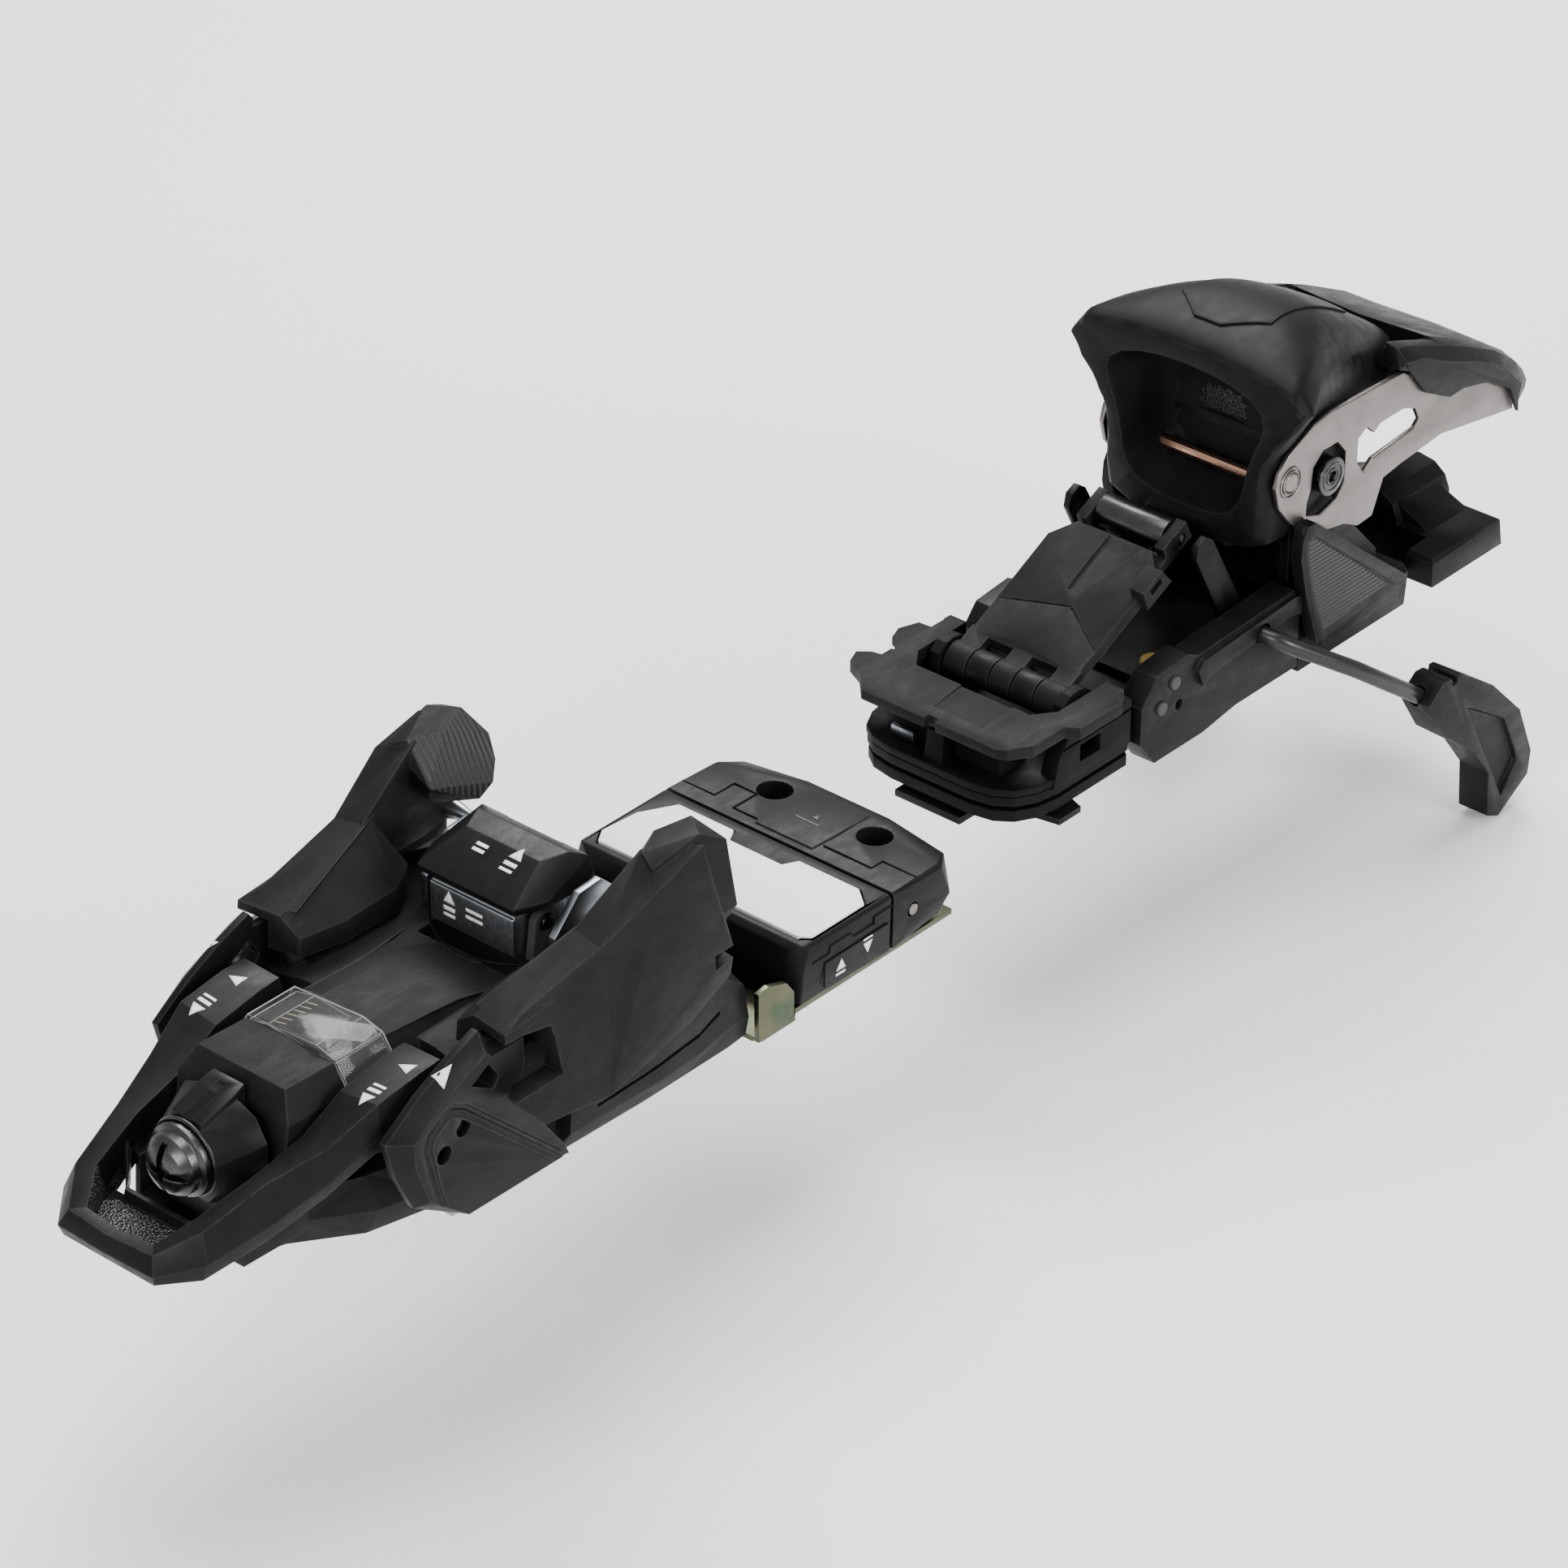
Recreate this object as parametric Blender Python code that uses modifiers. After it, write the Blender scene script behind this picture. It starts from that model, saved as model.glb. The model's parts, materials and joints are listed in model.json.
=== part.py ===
"""Touring ski binding: toe piece with release wings and entry lever, boot rest
plate, and a heel piece with cup, step-out lever, climbing aid and ski brake.

Frame: +Y runs from the toe tip towards the heel, +X to the side, +Z up.
Z = 0 is the ski's top face. The origin lies on the toe base's underside, on
the centre line, at the toe stop. All numbers below are millimetres, and are
multiplied by MM as the meshes are made."""

import math

import bpy
import bmesh
from mathutils import Matrix, Vector

MM = 0.001
GAP = 0.3

# ------------------------------------------------------------ driving sizes
TOE_LEVER_AXIS = (-63.0, 30.3)      # Y, Z of the entry lever's hinge
WING_AXIS = (28.5, -46.0)           # X, Y of each wing's upright hinge
WING_FOOT = 39.0                    # lowest Z of a wing's inner part
DIN_Z = 28.6                        # height of the toe spring's axis
DIN_BORE = 11.2
TUNNEL_HALF = 16.2
TUNNEL_TOP = 42.0
MODE_AXIS = (-12.0, 47.0)           # Y, Z of the mode switch's hinge
AFD_AXIS = (88.0, 9.8)              # Y, Z of the boot rest's hinge
AFD_HALF = 35.0
AFD_TOP = 17.3
COVER_IN, COVER_OUT = 33.2, 38.2    # X of the side covers

HEEL_HALF = 28.0
TRACK_TOP = 3.2
SCREW_Z = 8.0
PEDAL_AXIS = (165.0, 22.0)          # Y, Z of the pedal's and riser's hinge
PEDAL_SLOPE = math.radians(25.6)
PEDAL_LENGTH = 53.2
BRAKE_AXIS = (226.0, 19.4)          # Y, Z of the brake arms' hinge
WIRE_R = 2.1
CUP_AXIS = (252.5, 51.6)            # Y, Z of the heel's main axle
RIVET_AXIS = (237.0, 56.0)          # Y, Z of the step-out lever's hinge
PLATE_IN, PLATE_OUT = 25.8, 27.3    # X of the lever's steel side plates

# ------------------------------------------------------------ scene and help
for old in list(bpy.data.objects):
    bpy.data.objects.remove(old, do_unlink=True)

parts = bpy.data.collections.new("touring_binding")
cutters = bpy.data.collections.new("cutters")
bpy.context.scene.collection.children.link(parts)
bpy.context.scene.collection.children.link(cutters)

materials = {}


def material(name, colour, roughness, metallic):
    mat = bpy.data.materials.new(name)
    mat.use_nodes = True
    shader = mat.node_tree.nodes["Principled BSDF"]
    shader.inputs["Base Color"].default_value = (*colour, 1.0)
    shader.inputs["Roughness"].default_value = roughness
    shader.inputs["Metallic"].default_value = metallic
    materials[name] = mat


material("black_plastic", (0.017, 0.017, 0.018), 0.55, 0.0)
material("gloss_plastic", (0.012, 0.012, 0.013), 0.22, 0.0)
material("matte_plastic", (0.030, 0.030, 0.031), 0.68, 0.0)
material("clear_plastic", (0.75, 0.76, 0.76), 0.08, 0.0)
material("zinc_steel", (0.42, 0.45, 0.47), 0.34, 1.0)
material("satin_steel", (0.55, 0.51, 0.48), 0.32, 1.0)
material("dark_steel", (0.06, 0.06, 0.065), 0.32, 1.0)
material("brass_steel", (0.52, 0.49, 0.36), 0.35, 1.0)
material("copper", (0.65, 0.38, 0.26), 0.28, 1.0)
material("white_pad", (0.82, 0.82, 0.83), 0.62, 0.0)
material("amber_rubber", (0.42, 0.29, 0.07), 0.55, 0.0)


def add(obj, mat=None, cutter=False, smooth=None):
    if cutter:
        cutters.objects.link(obj)
        obj.hide_render = True
        obj.display_type = "WIRE"
    else:
        parts.objects.link(obj)
        obj.data.materials.clear()
        obj.data.materials.append(materials[mat])
    if smooth is not None and obj.type == "MESH":
        obj.data.shade_smooth()
        obj.data.set_sharp_from_angle(angle=math.radians(smooth))
    return obj


def from_bmesh(name, bm, mat=None, cutter=False, smooth=None):
    bmesh.ops.recalc_face_normals(bm, faces=bm.faces)
    mesh = bpy.data.meshes.new(name)
    bm.to_mesh(mesh)
    bm.free()
    return add(bpy.data.objects.new(name, mesh), mat, cutter, smooth)


def v(p):
    return Vector(p) * MM


def box_into(bm, x, y, z):
    size = Vector((x[1] - x[0], y[1] - y[0], z[1] - z[0])) * MM
    centre = Vector((x[0] + x[1], y[0] + y[1], z[0] + z[1])) * (MM / 2)
    bmesh.ops.create_cube(bm, size=1.0, matrix=Matrix.Translation(centre) @ Matrix.Diagonal((*size, 1.0)))


def box(name, x, y, z, mat=None, **k):
    bm = bmesh.new()
    box_into(bm, x, y, z)
    return from_bmesh(name, bm, mat, **k)


AXES = {"X": Matrix.Rotation(math.pi / 2, 4, "Y"), "Y": Matrix.Rotation(-math.pi / 2, 4, "X"), "Z": Matrix.Identity(4)}


def cyl(name, axis, centre, lo, hi, r, mat=None, r2=None, n=20, **k):
    """A cylinder or cone along X, Y or Z: centre holds the two other coordinates."""
    mid = (lo + hi) / 2
    c = {"X": (mid, *centre), "Y": (centre[0], mid, centre[1]), "Z": (*centre, mid)}[axis]
    bm = bmesh.new()
    bmesh.ops.create_cone(bm, cap_ends=True, segments=n, radius1=r * MM, radius2=(r if r2 is None else r2) * MM,
                          depth=(hi - lo) * MM, matrix=Matrix.Translation(v(c)) @ AXES[axis])
    k.setdefault("smooth", None if k.get("cutter") else 40)
    return from_bmesh(name, bm, mat, **k)


def hull(name, points, mat=None, mirror=True, **k):
    """The convex solid over these points, and over their mirror images across X = 0."""
    bm = bmesh.new()
    for p in points:
        bm.verts.new(v(p))
        if mirror and abs(p[0]) > 1e-6:
            bm.verts.new(v((-p[0], p[1], p[2])))
    made = bmesh.ops.convex_hull(bm, input=bm.verts)
    inside = [g for g in made["geom_interior"] + made["geom_unused"] if isinstance(g, bmesh.types.BMVert) and g.is_valid]
    bmesh.ops.delete(bm, geom=list(set(inside)), context="VERTS")
    bmesh.ops.dissolve_limit(bm, angle_limit=0.002, verts=bm.verts, edges=bm.edges)
    bmesh.ops.triangulate(bm, faces=bm.faces)
    return from_bmesh(name, bm, mat, **k)


def loft(name, rings, mat=None, caps=(True, True), **k):
    """A solid over rings of equal counts, in 3-D points, joined in order."""
    bm = bmesh.new()
    rows = [[bm.verts.new(v(p)) for p in ring] for ring in rings]
    count = len(rows[0])
    for a, b in zip(rows, rows[1:]):
        for i in range(count):
            j = (i + 1) % count
            bm.faces.new((a[i], a[j], b[j], b[i]))
    if caps[0]:
        bm.faces.new(rows[0])
    if caps[1]:
        bm.faces.new(rows[-1])
    bmesh.ops.triangulate(bm, faces=bm.faces)
    return from_bmesh(name, bm, mat, **k)


def symmetric_loft(name, stations, mat=None, **k):
    """stations: (Y, [(X, Z) ... from the bottom centre round one side to the top centre])."""
    rings = []
    for y, half in stations:
        right = [(x, y, z) for x, z in half]
        left = [(-x, y, z) for x, z in reversed(half) if abs(x) > 1e-6]
        rings.append(right + left)
    return loft(name, rings, mat, **k)


def outline(name, plane, points, lo, hi, mat=None, cutter=False, smooth=None):
    """A flat outline as a filled 2-D curve, extruded from lo to hi along the third axis.
    plane "YZ" runs along X, "XZ" along Y, "XY" along Z."""
    curve = bpy.data.curves.new(name, "CURVE")
    curve.dimensions = "2D"
    curve.fill_mode = "BOTH"
    curve.extrude = (hi - lo) * MM / 2
    spline = curve.splines.new("POLY")
    spline.points.add(len(points) - 1)
    for point, (a, b) in zip(spline.points, points):
        point.co = (a * MM, b * MM, 0.0, 1.0)
    spline.use_cyclic_u = True
    mid = (lo + hi) / 2 * MM
    turn = {"XY": Matrix.Identity(4),
            "YZ": Matrix(((0, 0, 1, 0), (1, 0, 0, 0), (0, 1, 0, 0), (0, 0, 0, 1))),
            "XZ": Matrix(((1, 0, 0, 0), (0, 0, -1, 0), (0, 1, 0, 0), (0, 0, 0, 1)))}[plane]
    shift = {"XY": (0, 0, mid), "YZ": (mid, 0, 0), "XZ": (0, mid, 0)}[plane]
    obj = bpy.data.objects.new(name + "_outline", curve)
    obj.matrix_world = Matrix.Translation(shift) @ turn
    return meshed(obj, name, mat, cutter, smooth)


def meshed(curve_obj, name, mat, cutter=False, smooth=None):
    """The curve object as a welded mesh object of this name."""
    bpy.context.scene.collection.objects.link(curve_obj)
    bpy.context.view_layer.update()
    graph = bpy.context.evaluated_depsgraph_get()
    mesh = bpy.data.meshes.new_from_object(curve_obj.evaluated_get(graph))
    mesh.transform(curve_obj.matrix_world)
    data = curve_obj.data
    bpy.data.objects.remove(curve_obj)
    bpy.data.curves.remove(data)
    bm = bmesh.new()
    bm.from_mesh(mesh)
    bmesh.ops.remove_doubles(bm, verts=bm.verts, dist=1e-6)
    bpy.data.meshes.remove(mesh)
    return from_bmesh(name, bm, mat, cutter=cutter, smooth=smooth)


def tube(name, points, r, mat, resolution=1, smooth=60):
    curve = bpy.data.curves.new(name, "CURVE")
    curve.dimensions = "3D"
    curve.bevel_depth = r * MM
    curve.bevel_resolution = resolution
    curve.use_fill_caps = True
    spline = curve.splines.new("POLY")
    spline.points.add(len(points) - 1)
    for point, p in zip(spline.points, points):
        point.co = (*v(p), 1.0)
    return meshed(bpy.data.objects.new(name + "_path", curve), name, mat, smooth=smooth)


def boolean(obj, operation, *tools):
    for tool in tools:
        mod = obj.modifiers.new(operation.lower(), "BOOLEAN")
        mod.operation = operation
        mod.object = tool
        mod.solver = "EXACT"
    return obj


def cut(obj, *tools):
    return boolean(obj, "DIFFERENCE", *tools)


def join(obj, *tools):
    return boolean(obj, "UNION", *tools)


def mirrored(points):
    return [(-a, b, c) for a, b, c in points]


def both(side, x0, x1):
    """An X range on this side of the centre plane, lowest first."""
    return (x0, x1) if side > 0 else (-x1, -x0)


def pivot(obj, point):
    """Puts the object's origin on its joint's axis without moving its mesh."""
    p = v(point)
    obj.data.transform(Matrix.Translation(-p))
    obj.location = p
    return obj


SIDES = (("left", -1), ("right", 1))

# ================================================================= TOE PIECE
box("toe_base_plate", (-29, 29), (-58, 31), (0.0, 1.5), "zinc_steel")

body = symmetric_loft("toe_body", [
    (-104.0, [(0, 1.8), (6.5, 1.8), (9.5, 9.0), (14.5, 17.3), (13.0, 17.3), (0, 17.3)]),
    (-90.0, [(0, 1.8), (11.0, 1.8), (15.3, 9.5), (15.8, 17.3), (14.0, 17.3), (0, 17.3)]),
    (-76.0, [(0, 1.8), (21.0, 1.8), (25.0, 9.5), (22.0, 17.3), (14.0, 17.3), (0, 17.3)]),
    (-62.0, [(0, 1.8), (24.5, 1.8), (29.0, 10.0), (29.0, 20.0), (16.0, 22.5), (0, 22.5)]),
    (-55.6, [(0, 1.8), (27.0, 1.8), (32.0, 10.0), (32.0, 22.0), (18.0, 24.0), (0, 24.0)]),
    (-52.4, [(0, 1.8), (28.0, 1.8), (32.4, 11.0), (32.4, 34.0), (20.0, 37.2), (0, 38.0)]),
    (-29.2, [(0, 1.8), (31.0, 1.8), (32.7, 12.0), (32.7, 37.0), (24.0, 38.0), (0, 38.0)]),
    (-28.0, [(0, 1.8), (31.5, 1.8), (36.0, 9.0), (38.2, 37.0), (26.0, 38.0), (0, 38.0)]),
    (0.0, [(0, 1.8), (32.5, 1.8), (37.0, 9.0), (38.2, 37.0), (26.0, 38.0), (0, 38.0)]),
    (13.0, [(0, 1.8), (32.5, 1.8), (36.5, 9.0), (37.3, 34.0), (26.0, 37.0), (0, 37.0)]),
    (27.0, [(0, 1.8), (32.5, 1.8), (34.5, 9.0), (33.5, 20.0), (24.0, 24.0), (0, 24.0)]),
    (33.5, [(0, 1.8), (32.0, 1.8), (33.0, 7.0), (31.5, 15.0), (24.0, 18.0), (0, 18.0)]),
], "matte_plastic")
tunnel = symmetric_loft("body_tunnel_form", [
    (-75.2, [(0, 5), (TUNNEL_HALF - 2, 5), (TUNNEL_HALF, 16), (TUNNEL_HALF, 35), (12.5, 40.6), (7, TUNNEL_TOP), (0, TUNNEL_TOP)]),
    (-55.0, [(0, 5), (TUNNEL_HALF - 2, 5), (TUNNEL_HALF, 16), (TUNNEL_HALF, 35), (12.5, 40.6), (7, TUNNEL_TOP), (0, TUNNEL_TOP)]),
    (-40.0, [(0, 5), (TUNNEL_HALF - 2, 5), (17.0, 16), (17.5, 34), (13.0, 39.6), (7, 41.0), (0, 41.2)]),
    (-22.0, [(0, 5), (TUNNEL_HALF - 2, 5), (19.0, 16), (20.5, 32), (16.0, 37.0), (8, 37.4), (0, 37.5)]),
], cutter=True)
disc = cyl("body_disc_form", "Z", (0, -4), 30.0, 38.6, 20.5, n=32, cutter=True)
join(body, tunnel, disc)
cut(body,
    cyl("spring_bore", "Y", (0, DIN_Z), -80.0, -34.0, DIN_BORE, n=24, cutter=True),
    box("window_slot", (-9, 9), (-73.0, -63.0), (34.0, 46.0), cutter=True),
    box("switch_pocket", (-13.4, 13.4), (-23.5, 3.0), (35.2, 46.0), cutter=True))
# The wings' upright pins stand in the deck inboard of the side covers.
for side, s in SIDES:
    cut(body, cyl("deck_pin_hole_" + side, "Z", (s * WING_AXIS[0], WING_AXIS[1]), 27.0, 42.0, 2.9, n=14, cutter=True))

collar = hull("toe_collar", [
    (14.5, -96.0, 17.6), (16.5, -95.0, 23.0), (16.5, -93.0, 36.0), (13.0, -90.0, 42.6), (0, -88.0, 43.0),
    (14.5, -75.6, 17.6), (16.5, -75.6, 23.0), (16.5, -75.6, 36.0), (13.0, -75.6, 42.0), (0, -75.6, 42.8)], "matte_plastic")
cut(collar,
    cyl("collar_bore", "Y", (0, DIN_Z), -91.0, -70.0, 10.6, n=24, cutter=True),
    cyl("collar_mouth", "Y", (0, DIN_Z), -110.0, -80.0, 8.9, n=24, cutter=True))

nose = hull("toe_nose_cone", [
    (11.0, -96.8, 18.2), (13.5, -96.6, 24.0), (13.8, -96.4, 33.0), (9.0, -96.2, 39.6), (4.0, -96.2, 40.4),
    (6.0, -107.2, 19.6), (9.4, -107.2, 24.0), (9.8, -107.2, 31.0), (6.0, -107.0, 37.4), (0.0, -107.0, 38.2)], "gloss_plastic")
join(nose, cyl("nose_plug_form", "Y", (0, DIN_Z), -98.0, -88.5, 8.5, n=24, cutter=True))
cut(nose, cyl("nose_bore", "Y", (0, DIN_Z), -112.0, -80.0, 3.5, n=16, cutter=True),
    box("nose_groove", (-1.6, 1.6), (-110.0, -95.0), (37.2, 44.0), cutter=True))


def turned(name, axis_point, profile, mat, steps=24, smooth=40, cutter=False):
    """A Screw-turned shape about an axis parallel to Y: profile is (radius, Y) run from +Y to -Y."""
    mesh = bpy.data.meshes.new(name)
    bm = bmesh.new()
    previous = None
    for r, y in profile:
        vert = bm.verts.new((r * MM, 0.0, y * MM))
        if previous:
            bm.edges.new((previous, vert))
        previous = vert
    bm.to_mesh(mesh)
    bm.free()
    obj = bpy.data.objects.new(name, mesh)
    screw = obj.modifiers.new("turn", "SCREW")
    screw.axis = "Z"
    screw.steps = screw.render_steps = steps
    screw.use_merge_vertices = True
    screw.merge_threshold = 1e-6
    bpy.context.scene.collection.objects.link(obj)
    bpy.context.view_layer.update()
    graph = bpy.context.evaluated_depsgraph_get()
    made = bpy.data.meshes.new_from_object(obj.evaluated_get(graph))
    bpy.data.objects.remove(obj)
    bm = bmesh.new()
    bm.from_mesh(made)
    bmesh.ops.remove_doubles(bm, verts=bm.verts, dist=1e-6)
    # Local +Z becomes world +Y.
    bm.transform(Matrix.Translation((axis_point[0] * MM, 0, axis_point[1] * MM)) @ Matrix(((1, 0, 0, 0), (0, 0, 1, 0), (0, -1, 0, 0), (0, 0, 0, 1))))
    bpy.data.meshes.remove(made)
    return from_bmesh(name, bm, mat, cutter=cutter, smooth=smooth)


din = turned("toe_din_screw", (0, DIN_Z), [
    (0, -42.0), (2.6, -42.0), (3.0, -43.0), (3.0, -107.4), (8.6, -107.4), (8.6, -109.2),
    (7.4, -109.6), (7.2, -111.6), (5.6, -113.6), (3.2, -114.7), (0, -115.0)], "dark_steel", steps=20)
cut(din, box("din_slot_across", (-6.2, 6.2), (-120, -112.4), (DIN_Z - 0.8, DIN_Z + 0.8), cutter=True),
    box("din_slot_upright", (-0.8, 0.8), (-120, -112.4), (DIN_Z - 6.2, DIN_Z + 6.2), cutter=True))

indicator = cyl("toe_din_indicator", "Y", (0, DIN_Z), -70.0, -66.0, 10.5, "gloss_plastic", n=24)
cut(indicator, cyl("indicator_thread", "Y", (0, DIN_Z), -80.0, -60.0, 3.4, n=16, cutter=True))

turns, per_turn = 5, 10
coil = []
for i in range(turns * per_turn + 1):
    a = 2 * math.pi * i / per_turn
    coil.append((8.2 * math.cos(a), -59.0 + 19.0 * i / (turns * per_turn), DIN_Z + 8.2 * math.sin(a)))
tube("toe_spring", coil, 1.3, "dark_steel", resolution=0)
window_points = [(17.3, 30.5), (17.3, 36.2), (13.2, 42.4), (7.4, 43.8), (-7.4, 43.8), (-13.2, 42.4), (-17.3, 36.2), (-17.3, 30.5),
                 (-16.5, 30.5), (-16.5, 35.8), (-12.7, 41.2), (-7.2, 42.5), (7.2, 42.5), (12.7, 41.2), (16.5, 35.8), (16.5, 30.5)]
outline("din_window", "XZ", window_points, -75.2, -61.0, "clear_plastic")

# Entry lever: a U of two arms round the nose, joined at the tip.
half_lever = [
    [(0, -132.0, 15.4), (0, -131.0, 20.0), (0, -117.0, 25.0), (0, -116.6, 18.0)],
    [(12.0, -130.4, 14.8), (10.6, -129.4, 20.4), (6.4, -117.0, 25.0), (6.6, -116.4, 18.0)],
    [(17.5, -122.0, 15.4), (15.6, -121.0, 25.0), (10.6, -113.6, 26.2), (10.8, -113.0, 18.2)],
    [(22.5, -106.0, 18.2), (21.6, -106.0, 30.2), (17.0, -103.0, 28.6), (17.2, -103.0, 20.0)],
    [(27.2, -92.0, 24.0), (26.0, -91.0, 33.6), (17.6, -90.0, 31.6), (17.6, -90.0, 25.0)],
    [(30.0, -80.0, 30.0), (28.8, -79.0, 40.0), (18.2, -79.0, 38.2), (18.2, -79.0, 28.0)],
    [(30.2, -58.4, 27.0), (29.0, -60.0, 42.4), (18.2, -60.0, 42.0), (18.2, -58.4, 27.0)],
]
lever = loft("toe_lever", half_lever, "black_plastic", caps=(False, True))
mirror = lever.modifiers.new("mirror", "MIRROR")
mirror.use_axis = (True, False, False)
mirror.merge_threshold = 1e-5
cut(lever,
    hull("lever_dimple", [(9.0, -127.6, 17.6), (13.0, -118.5, 20.4), (7.6, -113.6, 20.6), (10.2, -128.6, 23.0), (14.4, -118.8, 28.6), (9.0, -112.0, 30.0)], cutter=True),
    cyl("lever_hinge_bore", "X", TOE_LEVER_AXIS, -40.0, 40.0, 2.6, n=14, cutter=True))

for side, s in SIDES:
    # Side cover over the lever's hinge, with a tab reaching into the wing's notch.
    cover = outline("side_cover_" + side, "YZ", [
        (-61.0, 5.0), (-74.0, 14.0), (-84.0, 31.5), (-82.0, 38.0), (-74.0, 42.0), (-64.0, 47.0), (-53.0, 47.0), (-53.0, 38.4),
        (-31.2, 38.4), (-31.2, 30.0), (-44.0, 28.0), (-46.5, 24.0), (-29.5, 8.5), (-29.5, 5.0)], *both(s, COVER_IN, COVER_OUT), "black_plastic")
    lo, hi = both(s, 30.0, 42.0)
    cut(cover,
        outline("cover_window_" + side, "YZ", [(-58.5, 37.0), (-54.2, 42.6), (-51.4, 36.6), (-52.0, 34.4)], lo, hi, cutter=True),
        cyl("cover_hole_front_" + side, "X", (-69.0, 26.3), lo, hi, 2.3, n=14, cutter=True),
        cyl("cover_hole_rear_" + side, "X", TOE_LEVER_AXIS, lo, hi, 2.3, n=14, cutter=True))
    lo, hi = both(s, 18.6, 36.8)
    cyl("lever_pin_" + side, "X", TOE_LEVER_AXIS, lo, hi, 2.0, "dark_steel", n=14)

# Wings: each section runs from the inner foot over the crest to the skirt.
WING = [
    (-50.6, [(24.0, 39.0), (23.5, 47.2), (30.0, 49.4), (41.0, 49.6), (44.2, 42.0), (45.0, 32.0), (42.6, 31.2), (41.6, 39.0)]),
    (-36.0, [(21.5, 39.0), (21.5, 48.4), (27.0, 53.0), (42.0, 54.4), (46.0, 44.0), (47.2, 22.8), (43.0, 23.4), (40.6, 39.0)]),
    (-20.0, [(21.0, 39.0), (21.5, 50.0), (27.0, 57.4), (42.6, 59.2), (46.8, 46.0), (47.2, 23.4), (42.4, 24.2), (40.0, 39.0)]),
    (-4.0, [(22.5, 42.0), (23.0, 54.4), (29.0, 64.2), (44.6, 62.0), (47.2, 48.0), (45.6, 26.0), (41.4, 27.0), (39.6, 42.0)]),
    (9.0, [(26.5, 46.0), (24.0, 60.0), (32.0, 68.0), (45.6, 63.4), (46.6, 48.0), (43.6, 29.0), (40.0, 30.0), (39.2, 44.0)]),
    (17.0, [(31.0, 50.0), (27.5, 60.0), (34.0, 66.0), (44.6, 62.4), (45.6, 47.0), (42.0, 31.0), (39.6, 32.5), (39.0, 46.0)]),
    (21.0, [(35.0, 50.0), (33.0, 57.0), (36.0, 62.0), (42.0, 60.0), (43.0, 47.0), (41.0, 33.0), (39.8, 35.0), (39.4, 46.0)]),
]
for side, s in SIDES:
    wing = loft("wing_" + side, [[(s * x, y, z) for x, z in ring] for y, ring in WING], "matte_plastic")
    lo, hi = both(s, 36.0, 56.0)
    cut(wing,
        hull("wing_notch_" + side, [(s * 36, -60, 33.4), (s * 56, -60, 33.4), (s * 36, -60, 39.6), (s * 56, -60, 42.0),
                                    (s * 36, -28.6, 28.8), (s * 56, -28.6, 28.8), (s * 36, -28.6, 39.2), (s * 56, -28.6, 41.0)], mirror=False, cutter=True),
        cyl("wing_pin_hole_" + side, "Z", (s * WING_AXIS[0], WING_AXIS[1]), 30.0, 45.4, 2.9, n=14, cutter=True),
        cyl("wing_rear_slot_" + side, "X", (21.6, 40.2), *both(s, 40.6, 60.0), 4.0, n=10, cutter=True))
    pivot(wing, (s * WING_AXIS[0], WING_AXIS[1], 40.0))
    cyl("wing_pin_" + side, "Z", (s * WING_AXIS[0], WING_AXIS[1]), 28.0, 45.0, 2.5, "zinc_steel", n=14)
    lo, hi = both(s, 31.4, 38.9)
    cyl("touring_pin_" + side, "X", (14.0, 41.6), lo, hi, 1.0 if s > 0 else 2.7, "zinc_steel", r2=2.7 if s > 0 else 1.0, n=14)
    lo, hi = both(s, 18.2, 20.2)
    outline("pin_bracket_" + side, "YZ", [(-15, 38.9), (6, 38.9), (6, 49.0), (0, 54.5), (-7, 54.0), (-15, 46.0)], lo, hi, "zinc_steel")

# Mode switch: steel block under a chamfered cap, hinged on a pin in two cheeks.
block = box("mode_block", (-12.5, 12.5), (-20.0, -3.0), (40.3, 52.0), "zinc_steel")
cut(block, cyl("block_bore", "X", MODE_AXIS, -20.0, 20.0, 2.1, n=14, cutter=True),
    box("block_groove", (-20, 20), (-30, -19.2), (50.0, 60.0), cutter=True))
pivot(block, (0, *MODE_AXIS))
cap = hull("mode_cap", [(17.6, -14.0, 52.3), (14.6, -21.4, 52.3), (17.6, 0.6, 52.3), (17.6, -14.0, 54.0), (14.6, -21.6, 54.0),
                        (17.6, 0.8, 54.4), (10.5, -10.0, 58.6), (13.0, -4.0, 59.4), (15.4, 1.2, 58.4), (0, -10.0, 59.0), (0, 1.2, 60.2)], "gloss_plastic")
pivot(cap, (0, *MODE_AXIS))
cyl("mode_pin", "X", MODE_AXIS, -15.6, 15.6, 1.8, "dark_steel", n=14)
for side, s in SIDES:
    lo, hi = both(s, 13.0, 15.2)
    cheek = outline("mode_cheek_" + side, "YZ", [(-17.0, 38.9), (-7.0, 38.9), (-8.4, 48.6), (-10.6, 50.4), (-13.4, 50.4), (-15.6, 48.6)], lo, hi, "zinc_steel")
    cut(cheek, cyl("cheek_bore_" + side, "X", MODE_AXIS, *both(s, 10.0, 18.0), 2.1, n=14, cutter=True))

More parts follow.
